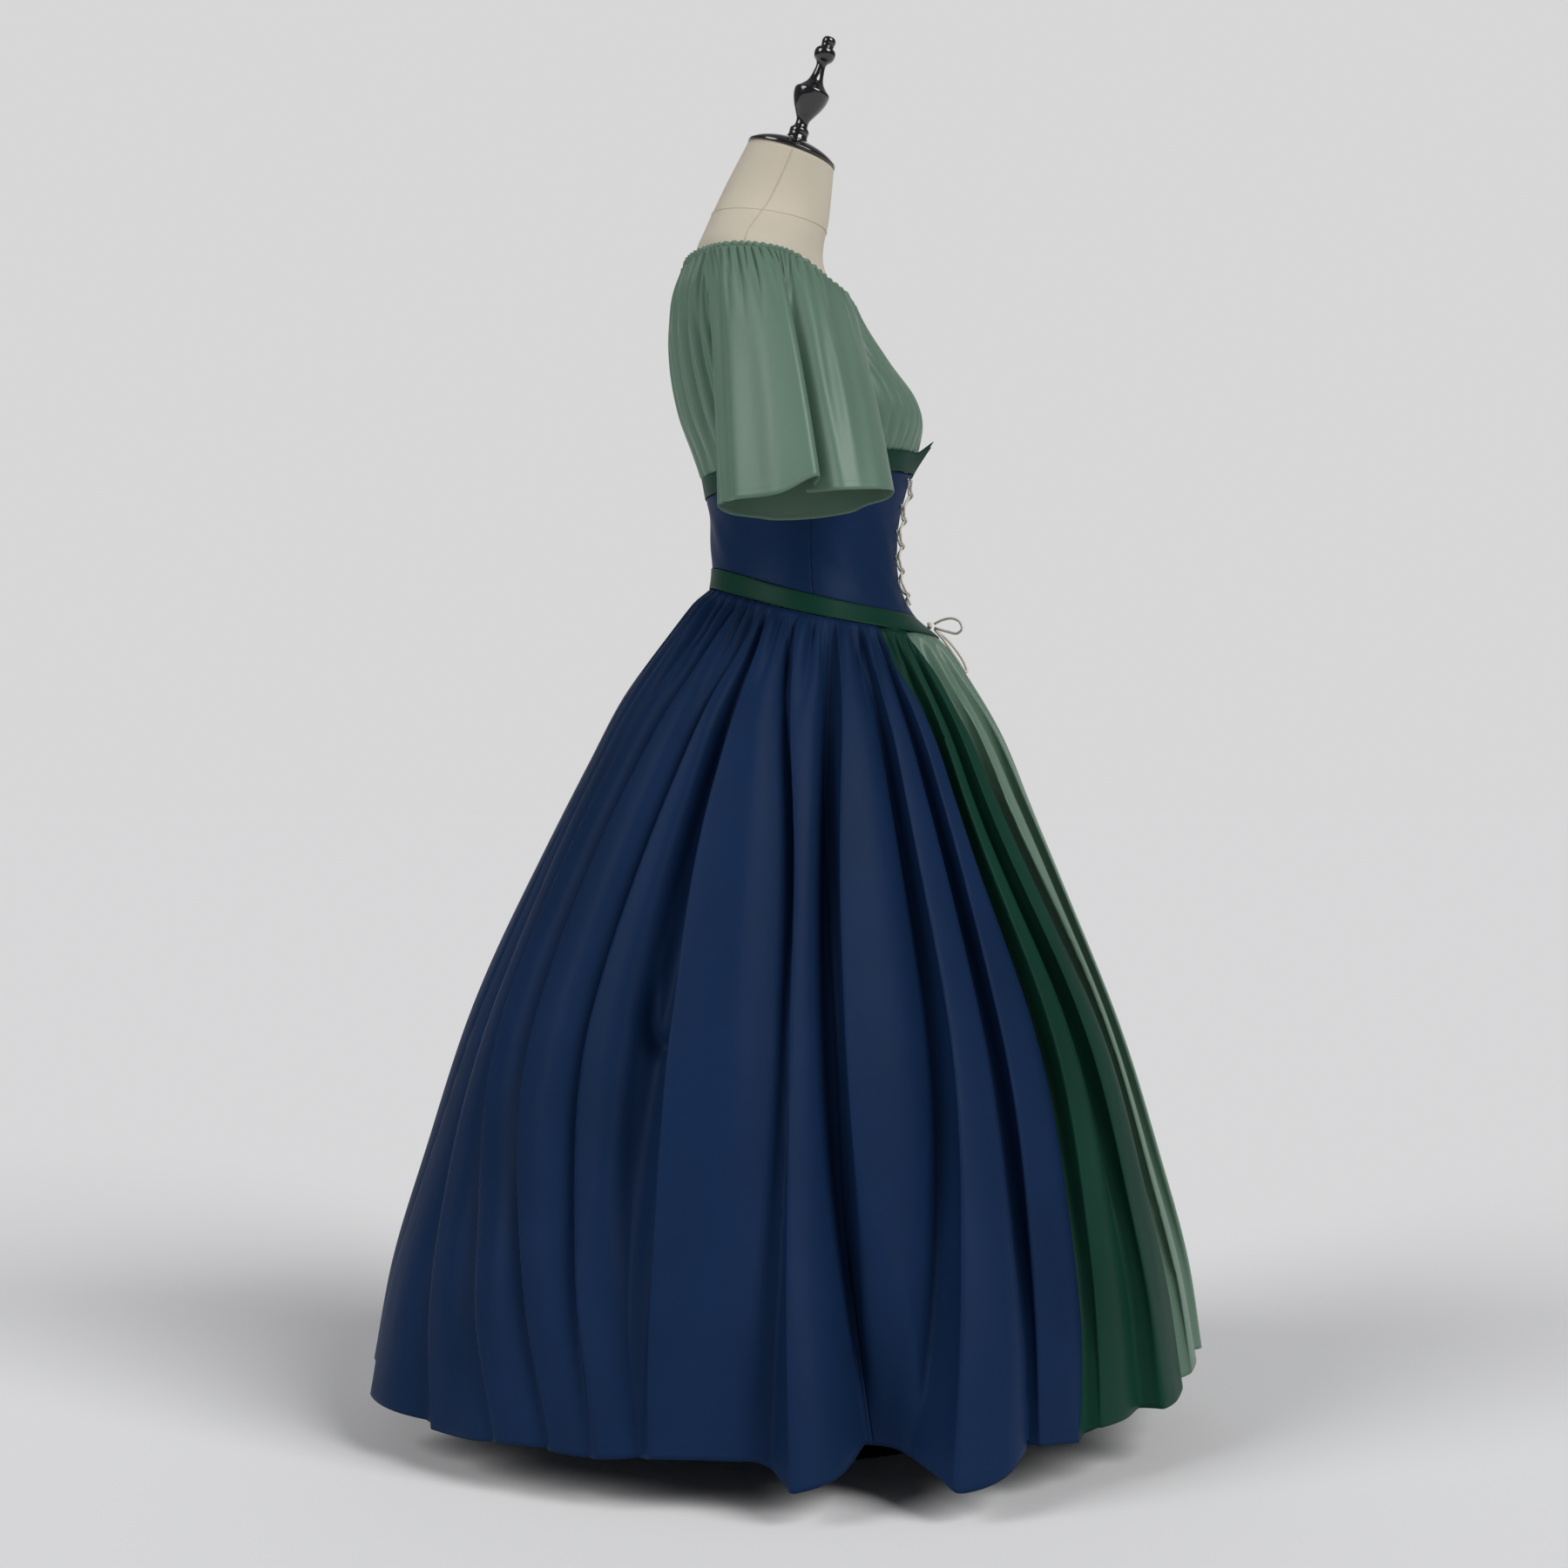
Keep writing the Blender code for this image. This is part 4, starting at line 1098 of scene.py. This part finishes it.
    def lobe(self, near: np.ndarray, fall: np.ndarray, lobe: Lobe, index: int,
             side: int) -> tuple[np.ndarray, np.ndarray]:
        """Shape of one lobe.

        Args:
            near: Turns from 0 to 360, counted round from the back on the lobe's side.
            fall: Falls down the skirt.
            lobe: The lobe.
            index: Its number, which varies the hidden side a little.
            side: 1 on the wearer's right and -1 on the left.

        Returns:
            Millimetres out of the hollows, and degrees that it leans towards its sharp edge.
        """
        drift = 0.0 if side > 0 else 1.8 * math.sin(index * 1.9)
        swell = 1.0 if side > 0 else 1.0 + 0.14 * math.sin(index * 2.3)
        sharp = through(FALL_ROWS, lobe.sharp, fall) + drift * fall
        soft = through(FALL_ROWS, lobe.soft, fall) + drift * fall
        depth = np.maximum(through(FALL_ROWS, lobe.depth, fall), 0.0) * swell
        share = (near - sharp) / (soft - sharp)
        before = (lobe.crown - share) / lobe.crown
        after = (share - lobe.crown) / (1 - lobe.crown)
        away = np.where(share < lobe.crown, before, after)
        leaning = 0.0 if lobe.crown == 0.5 else lobe.crown
        reach = through(FALL_ROWS, self.overhang, fall) * leaning * (soft - sharp)
        tip = reach * np.exp(-((share - lobe.crown) / (0.52 * lobe.crown)) ** 2)
        return depth * np.clip(1 - away * away, 0.0, 1.0), tip * ramp(depth, 4, 16)

    def hook(self, turn: np.ndarray, fall: np.ndarray) -> np.ndarray:
        """Curved crease where the deepest hollow of the right side ends."""
        across = (turn - self.hook_turn) / self.hook_half_width
        down = (fall - self.hook_fall) / self.hook_drop
        reach = np.hypot(across, np.maximum(down, 0.0))
        return -self.hook_depth * np.exp(-((reach - 1) / 0.30) ** 2) * ramp(down, -1.3, 0.3)

    def waist_gathers(self, turn: np.ndarray, fall: np.ndarray) -> np.ndarray:
        """Close gathers below the waist band, which fade into the pleats."""
        fade = ramp(-fall, -0.15, 0.0)
        calm = 1 - 0.6 * ramp(np.abs(half_turns(turn)), 108, 120)
        deep = self.pleat_gathers.at(turn + 9 * fall) * fade
        return (deep + self.small_gathers.at(turn) * fade ** 2) * calm

    def sway(self, turn: np.ndarray, fall: np.ndarray) -> np.ndarray:
        """Slow uneven waves of the free cloth, stronger towards the hem."""
        slow = np.sin(0.21 * turn + 2.6 * fall) * np.sin(0.083 * turn + 1.0 - 1.7 * fall)
        quick = np.sin(0.55 * turn - 4.0 * fall + 2.0) * np.sin(0.11 * turn + 0.4)
        return (0.0045 * slow + 0.0022 * quick) * ramp(fall, 0.1, 0.8)

    def face(self, turn: np.ndarray, fall: np.ndarray) -> np.ndarray:
        """Points on the skirt, from the waist band's lower edge to the hem."""
        angle = np.radians(turn)
        low = self.figure.waist_low(turn) - self.waist_seam
        waist = self.figure.face(turn, low, -0.0004)
        across = -np.sin(angle)
        along = np.cos(angle)
        hem_x = across * self.hem_half_width
        hem_y = (self.hem_back + self.hem_front) / 2
        hem_y = hem_y + along * (self.hem_back - self.hem_front) / 2
        share = read_table(self.spread, "fall", "share", fall)
        stand, lean = self.relief(turn, fall)
        settle = ramp(fall, -0.004, 0.020)
        spread = np.hypot(hem_x - waist[:, 0], hem_y - waist[:, 1]) * share
        offset = np.maximum(stand, -self.waist_clear - self.hip_share * spread) * settle
        lean = np.radians(lean * settle)
        x = waist[:, 0] + (hem_x - waist[:, 0]) * share
        y = waist[:, 1] + (hem_y - waist[:, 1]) * share
        x = x + across * offset - along * np.hypot(x, y) * lean
        y = y + along * offset + across * np.hypot(x, y) * lean
        return np.column_stack((x, y, low + (self.hem(half_turns(turn)) - low) * fall))

    def hem(self, turn: np.ndarray) -> np.ndarray:
        """Height of the hem, which rises at the centre back and over the front panels."""
        side = np.abs(turn)
        wave = 0.005 * np.cos(np.radians(3 * turn + 60)) + 0.002 * np.sin(turn / 3.7)
        back = 0.024 * ramp(-side, -34, -4)
        front = 0.014 * ramp(side, 130, 134) + 0.030 * ramp(side, 146, 178)
        flutes = 0.022 * hollow((side - 93) / 8) + 0.022 * hollow((side - 112) / 8)
        return self.hem_height + wave + back + front - flutes

    def under(self, turn: np.ndarray, fall: np.ndarray, depth: np.ndarray) -> np.ndarray:
        """Points of the skirt moved in from its face by a depth along its slope."""
        step = 0.4
        drop = 0.004
        round_way = self.face(turn + step, fall) - self.face(turn - step, fall)
        down_way = self.face(turn, fall + drop) - self.face(turn, fall - drop)
        normal = np.cross(down_way, round_way)
        normal /= np.linalg.norm(normal, axis=1)[:, None]
        return self.face(turn, fall) - normal * depth[:, None]

    def seam(self, name: str, fall: np.ndarray) -> np.ndarray:
        """Turn of one of the skirt's seams at a fall."""
        return read_table(self.seams, "fall", name, fall)

    def panel(self, side: int, start: Optional[str], end: str, tucked: bool = False) -> Surface:
        """Surface of a panel between two seams.

        Args:
            side: 1 on the wearer's right and -1 on the left.
            start: Seam nearer the centre back, or None for the centre back itself.
            end: Seam nearer the front.
            tucked: True where the panel's first edge lies under its neighbour.

        Returns:
            The surface.
        """
        def surface(across: np.ndarray, up: np.ndarray) -> np.ndarray:
            fall = 1 - up
            first = self.seam(start, fall) if start else np.zeros_like(fall)
            first = first - (self.inset_tuck if tucked else 0.0)
            last = self.seam(end, fall)
            share = across if side > 0 else 1 - across
            turn = first + (last - first) * share
            if tucked:
                depth = self.inset_drop * (1 - ramp(turn - first, 2 * self.inset_tuck, 9.0))
                return self.under(side * turn, fall, depth)
            return self.face(side * turn, fall)
        return surface

    def front(self, across: np.ndarray, up: np.ndarray) -> np.ndarray:
        """Surface of the front panel, tucked under the insets on both sides."""
        fall = 1 - up
        edge = self.seam("green", fall) - self.inset_tuck
        turn = edge + (360 - 2 * edge) * across
        side = np.minimum(turn, 360 - turn)
        depth = self.inset_drop * (1 - ramp(side - edge, 2 * self.inset_tuck, 9.0))
        return self.under(half_turns(turn), fall, depth)

    def build(self) -> None:
        """Build the skirt's seven panels."""
        hem = {"stitches": (14 * MM,)}
        for side, hand in ((1, "right"), (-1, "left")):
            build_all([
                ClothPiece("skirt_back_" + hand, self.panel(side, None, "side"), Dye.NAVY,
                           210, 150, (0.95, 0.99), area=0.73, **hem),
                ClothPiece("skirt_side_" + hand, self.panel(side, "side", "navy"), Dye.NAVY,
                           84, 150, (0.40, 0.96), area=0.29, **hem),
                ClothPiece("skirt_inset_" + hand, self.panel(side, "navy", "green", True),
                           Dye.GREEN, 60, 150, (0.30, 0.95), area=0.163, **hem),
            ])
        ClothPiece("skirt_front", self.front, Dye.SAGE, 100, 150, (0.46, 0.95), area=0.34,
                   **hem).build()


@dataclass(frozen=True)
class Turned:
    """Point of a turned outline: its radius and its height along the axis."""

    radius: float
    height: float


@dataclass(frozen=True)
class FormSection:
    """Section of the dress form, tilted from its back height to its front height."""

    back: float
    back_height: float
    front: float
    front_height: float
    half_width: float


@dataclass
class DressForm:
    """Limbless linen dress form with a black cap, a turned finial and a stand."""

    neck_tilt: float = math.radians(18.3)
    neck_top: tuple[float, float, float] = (0.0, 0.007, 1.4503)
    sections: tuple[FormSection, ...] = (
        FormSection(0.056, 1.466, -0.042, 1.434, 0.051),
        FormSection(0.078, 1.424, -0.039, 1.400, 0.053),
        FormSection(0.092, 1.395, -0.036, 1.374, 0.062),
        FormSection(0.101, 1.375, -0.032, 1.356, 0.082),
        FormSection(0.108, 1.358, -0.030, 1.342, 0.108),
        FormSection(0.115, 1.341, -0.030, 1.327, 0.135),
        FormSection(0.120, 1.320, -0.035, 1.308, 0.154),
        FormSection(0.125, 1.290, -0.048, 1.280, 0.160),
        FormSection(0.131, 1.240, -0.071, 1.240, 0.157),
        FormSection(0.127, 1.190, -0.101, 1.190, 0.149),
        FormSection(0.117, 1.145, -0.126, 1.145, 0.138),
        FormSection(0.103, 1.095, -0.121, 1.095, 0.124),
        FormSection(0.092, 1.030, -0.108, 1.030, 0.111),
        FormSection(0.090, 0.975, -0.105, 0.975, 0.110),
        FormSection(0.097, 0.925, -0.118, 0.925, 0.124),
        FormSection(0.112, 0.860, -0.121, 0.860, 0.146),
        FormSection(0.116, 0.780, -0.114, 0.780, 0.163),
        FormSection(0.105, 0.718, -0.100, 0.718, 0.150),
        FormSection(0.088, 0.700, -0.084, 0.700, 0.130),
    )
    cap: tuple[Turned, ...] = (
        Turned(0.000, 0.0195),
        Turned(0.0145, 0.0192),
        Turned(0.026, 0.0165),
        Turned(0.038, 0.0125),
        Turned(0.048, 0.0075),
        Turned(0.0525, 0.0035),
        Turned(0.0525, 0.0004),
        Turned(0.000, 0.0004),
    )
    finial: tuple[Turned, ...] = (
        Turned(0.000, 0.1440),
        Turned(0.0062, 0.1430),
        Turned(0.0078, 0.1400),
        Turned(0.0078, 0.1315),
        Turned(0.0112, 0.1285),
        Turned(0.0124, 0.1235),
        Turned(0.0108, 0.1175),
        Turned(0.0066, 0.1130),
        Turned(0.0066, 0.1000),
        Turned(0.0095, 0.0900),
        Turned(0.0165, 0.0820),
        Turned(0.0205, 0.0780),
        Turned(0.0205, 0.0720),
        Turned(0.0170, 0.0610),
        Turned(0.0110, 0.0500),
        Turned(0.0076, 0.0430),
        Turned(0.0080, 0.0360),
        Turned(0.0112, 0.0320),
        Turned(0.0112, 0.0250),
        Turned(0.0130, 0.0198),
        Turned(0.0000, 0.0198),
    )

    def at(self, turn: np.ndarray, row: np.ndarray, out: float = 0.0) -> np.ndarray:
        """Points of the form.

        Args:
            turn: Turns round it.
            row: Places down its table of sections, 0 at the neck.
            out: How far to stand outside it.

        Returns:
            The points, a row each.
        """
        spots = np.arange(len(self.sections))
        names = ("back", "back_height", "front", "front_height", "half_width")
        back, back_height, front, front_height, half_width = (
            through(spots, [getattr(section, name) for section in self.sections], row)
            for name in names)
        angle = np.radians(turn)
        x = -np.sin(angle) * (half_width + out)
        y = (back + front) / 2 + np.cos(angle) * ((back - front) / 2 + out)
        z = (back_height + front_height) / 2 + np.cos(angle) * (back_height - front_height) / 2
        return np.column_stack((x, y, z))

    def build_torso(self) -> None:
        """Smooth linen-covered torso that stands for the plain one."""
        def surface(across: np.ndarray, up: np.ndarray) -> np.ndarray:
            return self.at(across * 360, (1 - up) * (len(self.sections) - 1))

        mesh = grid_mesh("linen_torso", surface, 128, 150, (0.95, 0.80), join=True)
        with edited(mesh) as shape:
            rims = [edge for edge in shape.edges if edge.is_boundary]
            bmesh.ops.holes_fill(shape, edges=rims, sides=0)
        add_piece("linen_torso", mesh, LINEN, ["form_torso"])

    def build_seams(self) -> None:
        """Sewn ridges of the linen cover: round the neck's foot and over each shoulder."""
        neck_row = 2.6
        foot_row = 6.0
        lift = 0.2 * MM
        paths = [self.at(np.linspace(0, 360, 73), np.full(73, neck_row), lift)]
        for side in (1, -1):
            row = np.linspace(0.05, foot_row, 40)
            turn = side * through((0, neck_row, foot_row), (93, 84, 78), row)
            paths.append(self.at(turn, row, lift))
        add_piece("linen_seams", tube_mesh("linen_seams", paths, 0.6 * MM, 6), LINEN)

    def turned(self, name: str, outline: Sequence[Turned], steps: int,
               node: str) -> bpy.types.Object:
        """Turned and lacquered piece on the neck's tilted axis.

        Args:
            name: Piece's name.
            outline: Its outline from top to bottom.
            steps: Faces round it.
            node: Node that it stands for.

        Returns:
            The piece.
        """
        lathe = bmesh.new()
        points = [lathe.verts.new((row.radius, 0.0, row.height)) for row in outline]
        edges = [lathe.edges.new(pair) for pair in zip(points, points[1:])]
        spin(lathe, points + edges, steps, 2 * WELD)
        lean = Matrix.Translation(self.neck_top) @ Matrix.Rotation(self.neck_tilt, 4, "X")
        bmesh.ops.transform(lathe, matrix=lean, verts=lathe.verts)
        return add_piece(name, to_mesh(name, lathe), LACQUER, [node])

    def smooth_outline(self, rows: Sequence[Turned], count: int) -> list[Turned]:
        """The same outline with its turnings rounded."""
        flat = [(row.radius, 0.0, row.height) for row in rows]
        points = route(flat, count)
        points[0, 0] = 0.0
        points[-1, 0] = 0.0
        return [Turned(max(x, 0.0), z) for x, _, z in points]

    def build(self) -> None:
        """Build the form and finish its stand."""
        cap = self.turned("lacquered_cap", self.cap, 96, "form_neck_cap")
        edge = cap.modifiers.new("edge", "BEVEL")
        edge.width = 0.7 * MM
        edge.segments = 3
        finial = self.smooth_outline(self.finial, 120)
        self.build_torso()
        self.build_seams()
        self.turned("lacquered_finial", finial, 72, "form_finial")
        for node in ("form_pole", "form_base"):
            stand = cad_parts[node]
            stand.data.materials.clear()
            stand.data.materials.append(WARDROBE.of(PAINTED_STEEL))


def tube_mesh(name: str, paths: Sequence[np.ndarray], radius: float, sides: int) -> bpy.types.Mesh:
    """Round tubes along paths, with closed ends.

    Args:
        name: Mesh's name.
        paths: Points along each tube.
        radius: Tubes' radius.
        sides: Faces round a tube.

    Returns:
        The mesh.
    """
    curve = bpy.data.curves.new(name, "CURVE")
    curve.dimensions = "3D"
    curve.bevel_depth = radius
    curve.bevel_resolution = max(sides // 4, 1)
    curve.use_fill_caps = True
    for path in paths:
        line = curve.splines.new("POLY")
        line.points.add(len(path) - 1)
        for point, place in zip(line.points, path):
            point.co = (*place, 1.0)
    holder = link(name, curve)
    graph = bpy.context.evaluated_depsgraph_get()
    mesh = bpy.data.meshes.new_from_object(holder.evaluated_get(graph))
    bpy.data.objects.remove(holder)
    with edited(mesh) as shape:
        bmesh.ops.remove_doubles(shape, verts=shape.verts, dist=WELD)
    mesh.name = name
    return mesh


@dataclass
class Lacing:
    """Criss-cross cord over the front opening, with eyelets and a bow at its foot."""

    figure: Figure = field(default_factory=lambda: FIGURE)
    rows: tuple[float, ...] = (1.075, 1.046, 1.017, 0.988, 0.960, 0.934)
    radius: float = 0.0015
    eyelet_inset: float = 4.5
    eyelet_lift: float = 0.3 * MM
    lift: float = 0.0040
    under_lift: float = 0.0042
    over_lift: float = 0.0070
    knot: tuple[float, float, float] = (0.0, -0.1520, 0.912)
    upper_loop: tuple[tuple[float, float, float], ...] = (
        (-0.0045, -0.1575, 0.9135),
        (-0.0090, -0.1660, 0.9175),
        (-0.0150, -0.1780, 0.9190),
        (-0.0200, -0.1860, 0.9140),
        (-0.0200, -0.1880, 0.9070),
        (-0.0160, -0.1830, 0.9020),
        (-0.0110, -0.1730, 0.9040),
        (-0.0060, -0.1620, 0.9075),
        (-0.0030, -0.1580, 0.9090),
    )
    lower_loop: tuple[tuple[float, float, float], ...] = (
        (0.0045, -0.1580, 0.9080),
        (0.0095, -0.1690, 0.9000),
        (0.0150, -0.1830, 0.8850),
        (0.0200, -0.1940, 0.8680),
        (0.0190, -0.1965, 0.8600),
        (0.0140, -0.1950, 0.8590),
        (0.0090, -0.1870, 0.8700),
        (0.0050, -0.1740, 0.8880),
        (0.0020, -0.1630, 0.9020),
        (0.0010, -0.1590, 0.9060),
    )

    def point(self, turn: float, height: float, lift: float) -> np.ndarray:
        """Point just outside the corset's face."""
        spot = np.array([turn])
        flare = float(self.figure.corner_flare(spot, height)[0])
        return self.figure.face(spot, np.array([height]), lift + flare)[0]

    def strand(self, side: int) -> np.ndarray:
        """Route of one of the two crossing strands."""
        edge = self.figure.front_edge
        eyelet = edge - self.eyelet_inset
        points = [self.point(side * eyelet, self.rows[0], self.lift)]
        for index, (high, low) in enumerate(zip(self.rows, self.rows[1:])):
            here = side * (-1) ** index
            lift = self.over_lift if here > 0 else self.under_lift
            fall = high - low
            points.append(self.point(here * edge, high - 0.3 * fall, self.lift))
            middle = np.array([high - 0.5 * fall])
            points.append(self.figure.face(np.array([180.0]), middle, lift)[0])
            points.append(self.point(-here * edge, high - 0.7 * fall, self.lift))
            points.append(self.point(-here * eyelet, low, self.lift))
        return route(points, 180)

    def build_eyelets(self) -> None:
        """Small pressed rings where the cord passes through the corset."""
        ring = bmesh.new()
        inner = 2.1 * MM
        rim = 0.6 * MM
        rings = bmesh.ops.create_circle(ring, cap_ends=False, radius=rim, segments=10)["verts"]
        lay = Matrix.Translation((inner + rim, 0, 0)) @ Matrix.Rotation(math.pi / 2, 4, "X")
        bmesh.ops.transform(ring, matrix=lay, verts=rings)
        spin(ring, rings + list(ring.edges), 28)
        pattern = to_mesh("eyelet_ring", ring)
        joined = bmesh.new()
        for side in (1, -1):
            for height in self.rows:
                turn = side * (self.figure.front_edge - self.eyelet_inset)
                base = Vector(self.point(turn, height, self.eyelet_lift))
                out = Vector(self.point(turn, height, self.eyelet_lift + 1.0 * MM)) - base
                before = len(joined.verts)
                joined.from_mesh(pattern)
                joined.verts.ensure_lookup_table()
                place = Matrix.Translation(base) @ out.to_track_quat("Z", "Y").to_matrix().to_4x4()
                bmesh.ops.transform(joined, matrix=place, verts=joined.verts[before:])
        add_piece("corset_eyelets", to_mesh("corset_eyelets", joined), PLATED_RING)

    def build_knot(self) -> None:
        """Small overhand knot of the same cord."""
        turns = np.linspace(0, 2 * math.pi, 90)
        size = 0.00115
        path = np.column_stack((
            size * (np.sin(turns) + 2 * np.sin(2 * turns)),
            size * 1.1 * -np.sin(3 * turns),
            size * (np.cos(turns) - 2 * np.cos(2 * turns)))) + self.knot
        mesh = tube_mesh("tied_knot", [path], self.radius * 0.92, 12)
        add_piece("tied_knot", mesh, CORD, ["bow_knot"])

    def build_bow(self) -> None:
        """Two loops of the bow, each a free cord."""
        for name, points in (("upper", self.upper_loop), ("lower", self.lower_loop)):
            path = route(points, 60)
            mesh = tube_mesh(f"bow_cord_{name}", [path], self.radius, 12)
            loop = add_piece(f"bow_cord_{name}", mesh, CORD, [f"bow_loop_{name}"])

    def build(self) -> None:
        """Build the lacing, its eyelets, knot and bow."""
        self.build_bow()
        mesh = tube_mesh("laced_cord", [self.strand(1), self.strand(-1)], self.radius, 12)
        add_piece("laced_cord", mesh, CORD, ["lacing"])
        self.build_knot()
        self.build_eyelets()


@dataclass(frozen=True)
class Sun:
    """Soft light from far away: where it stands, its power and its spread in degrees."""

    name: str
    place: tuple[float, float, float]
    power: float
    spread: float = 32.0


@dataclass
class Studio:
    """Pale floor that runs far back under a pale surround, soft lights and the camera."""

    camera_place: tuple[float, float, float] = (-3.0, 0.015, 0.73)
    focal_mm: float = 60.0
    backdrop: str = "#d7d7d7"
    shade: str = "#66666a"
    floor: str = "#f1f1f1"
    floor_half: float = 60.0
    suns: tuple[Sun, ...] = (
        Sun("front_light", (-0.58, -0.60, 0.66), 1.98),
        Sun("back_light", (-0.45, 0.68, 0.58), 1.22),
    )

    def build_camera(self) -> None:
        """Level camera at the wearer's right side."""
        data = bpy.data.cameras.new("side_camera")
        data.lens = self.focal_mm
        data.sensor_width = 36.0
        camera = link("side_camera", data)
        camera.location = self.camera_place
        camera.rotation_euler = (math.pi / 2, 0.0, -math.pi / 2)
        bpy.context.scene.camera = camera

    def build_floor(self) -> None:
        """Pale floor."""
        sweep = bmesh.new()
        bmesh.ops.create_grid(sweep, x_segments=2, y_segments=2, size=self.floor_half)
        mesh = to_mesh("studio_floor", sweep)
        mesh.materials.append(Look("pale_floor").dress({
            "Base Color": linear(self.floor),
            "Roughness": 0.95,
            "Specular IOR Level": 0.0,
        }))
        link("studio_floor", mesh)

    def build_surround(self) -> None:
        """Surround that is pale behind the gown and darker behind the camera."""
        world = bpy.data.worlds.new("pale_surround")
        world.use_nodes = True
        tree = world.node_tree
        way = add_node(tree, "TexCoord", {}).outputs["Generated"]
        split = add_node(tree, "SeparateXYZ", {0: way})
        share = add_node(
            tree, "MapRange", {"From Min": 0.74, "From Max": 0.90, "Value": split.outputs[0]})
        colour = mix_colours(tree, self.shade, self.backdrop, share.outputs[0])
        set_node(tree, tree.nodes["Background"], {"Color": colour})
        bpy.context.scene.world = world

    def build_lights(self) -> None:
        """Two broad soft lights, one towards the gown's front and one towards its back."""
        for sun in self.suns:
            data = bpy.data.lights.new(sun.name, "SUN")
            data.energy = sun.power
            data.angle = math.radians(sun.spread)
            lamp = link(sun.name, data)
            lamp.location = Vector(sun.place) * 4
            lamp.rotation_euler = Vector(sun.place).to_track_quat("Z", "Y").to_euler()

    def build(self) -> None:
        """Set up the studio."""
        bpy.context.scene.view_settings.view_transform = "Standard"
        self.build_camera()
        self.build_floor()
        self.build_surround()
        self.build_lights()


def main() -> None:
    """Build the studio, the form and the gown in order."""
    logging.basicConfig(level=logging.INFO, format="%(name)s %(message)s")
    Studio().build()
    Lacing().build()
    DressForm().build()
    Blouse().build()
    Sleeve(1, 0.0).build()
    Sleeve(-1, 5.0).build()
    Bodice().build()
    Skirt().build()


if __name__ == "__main__":
    main()
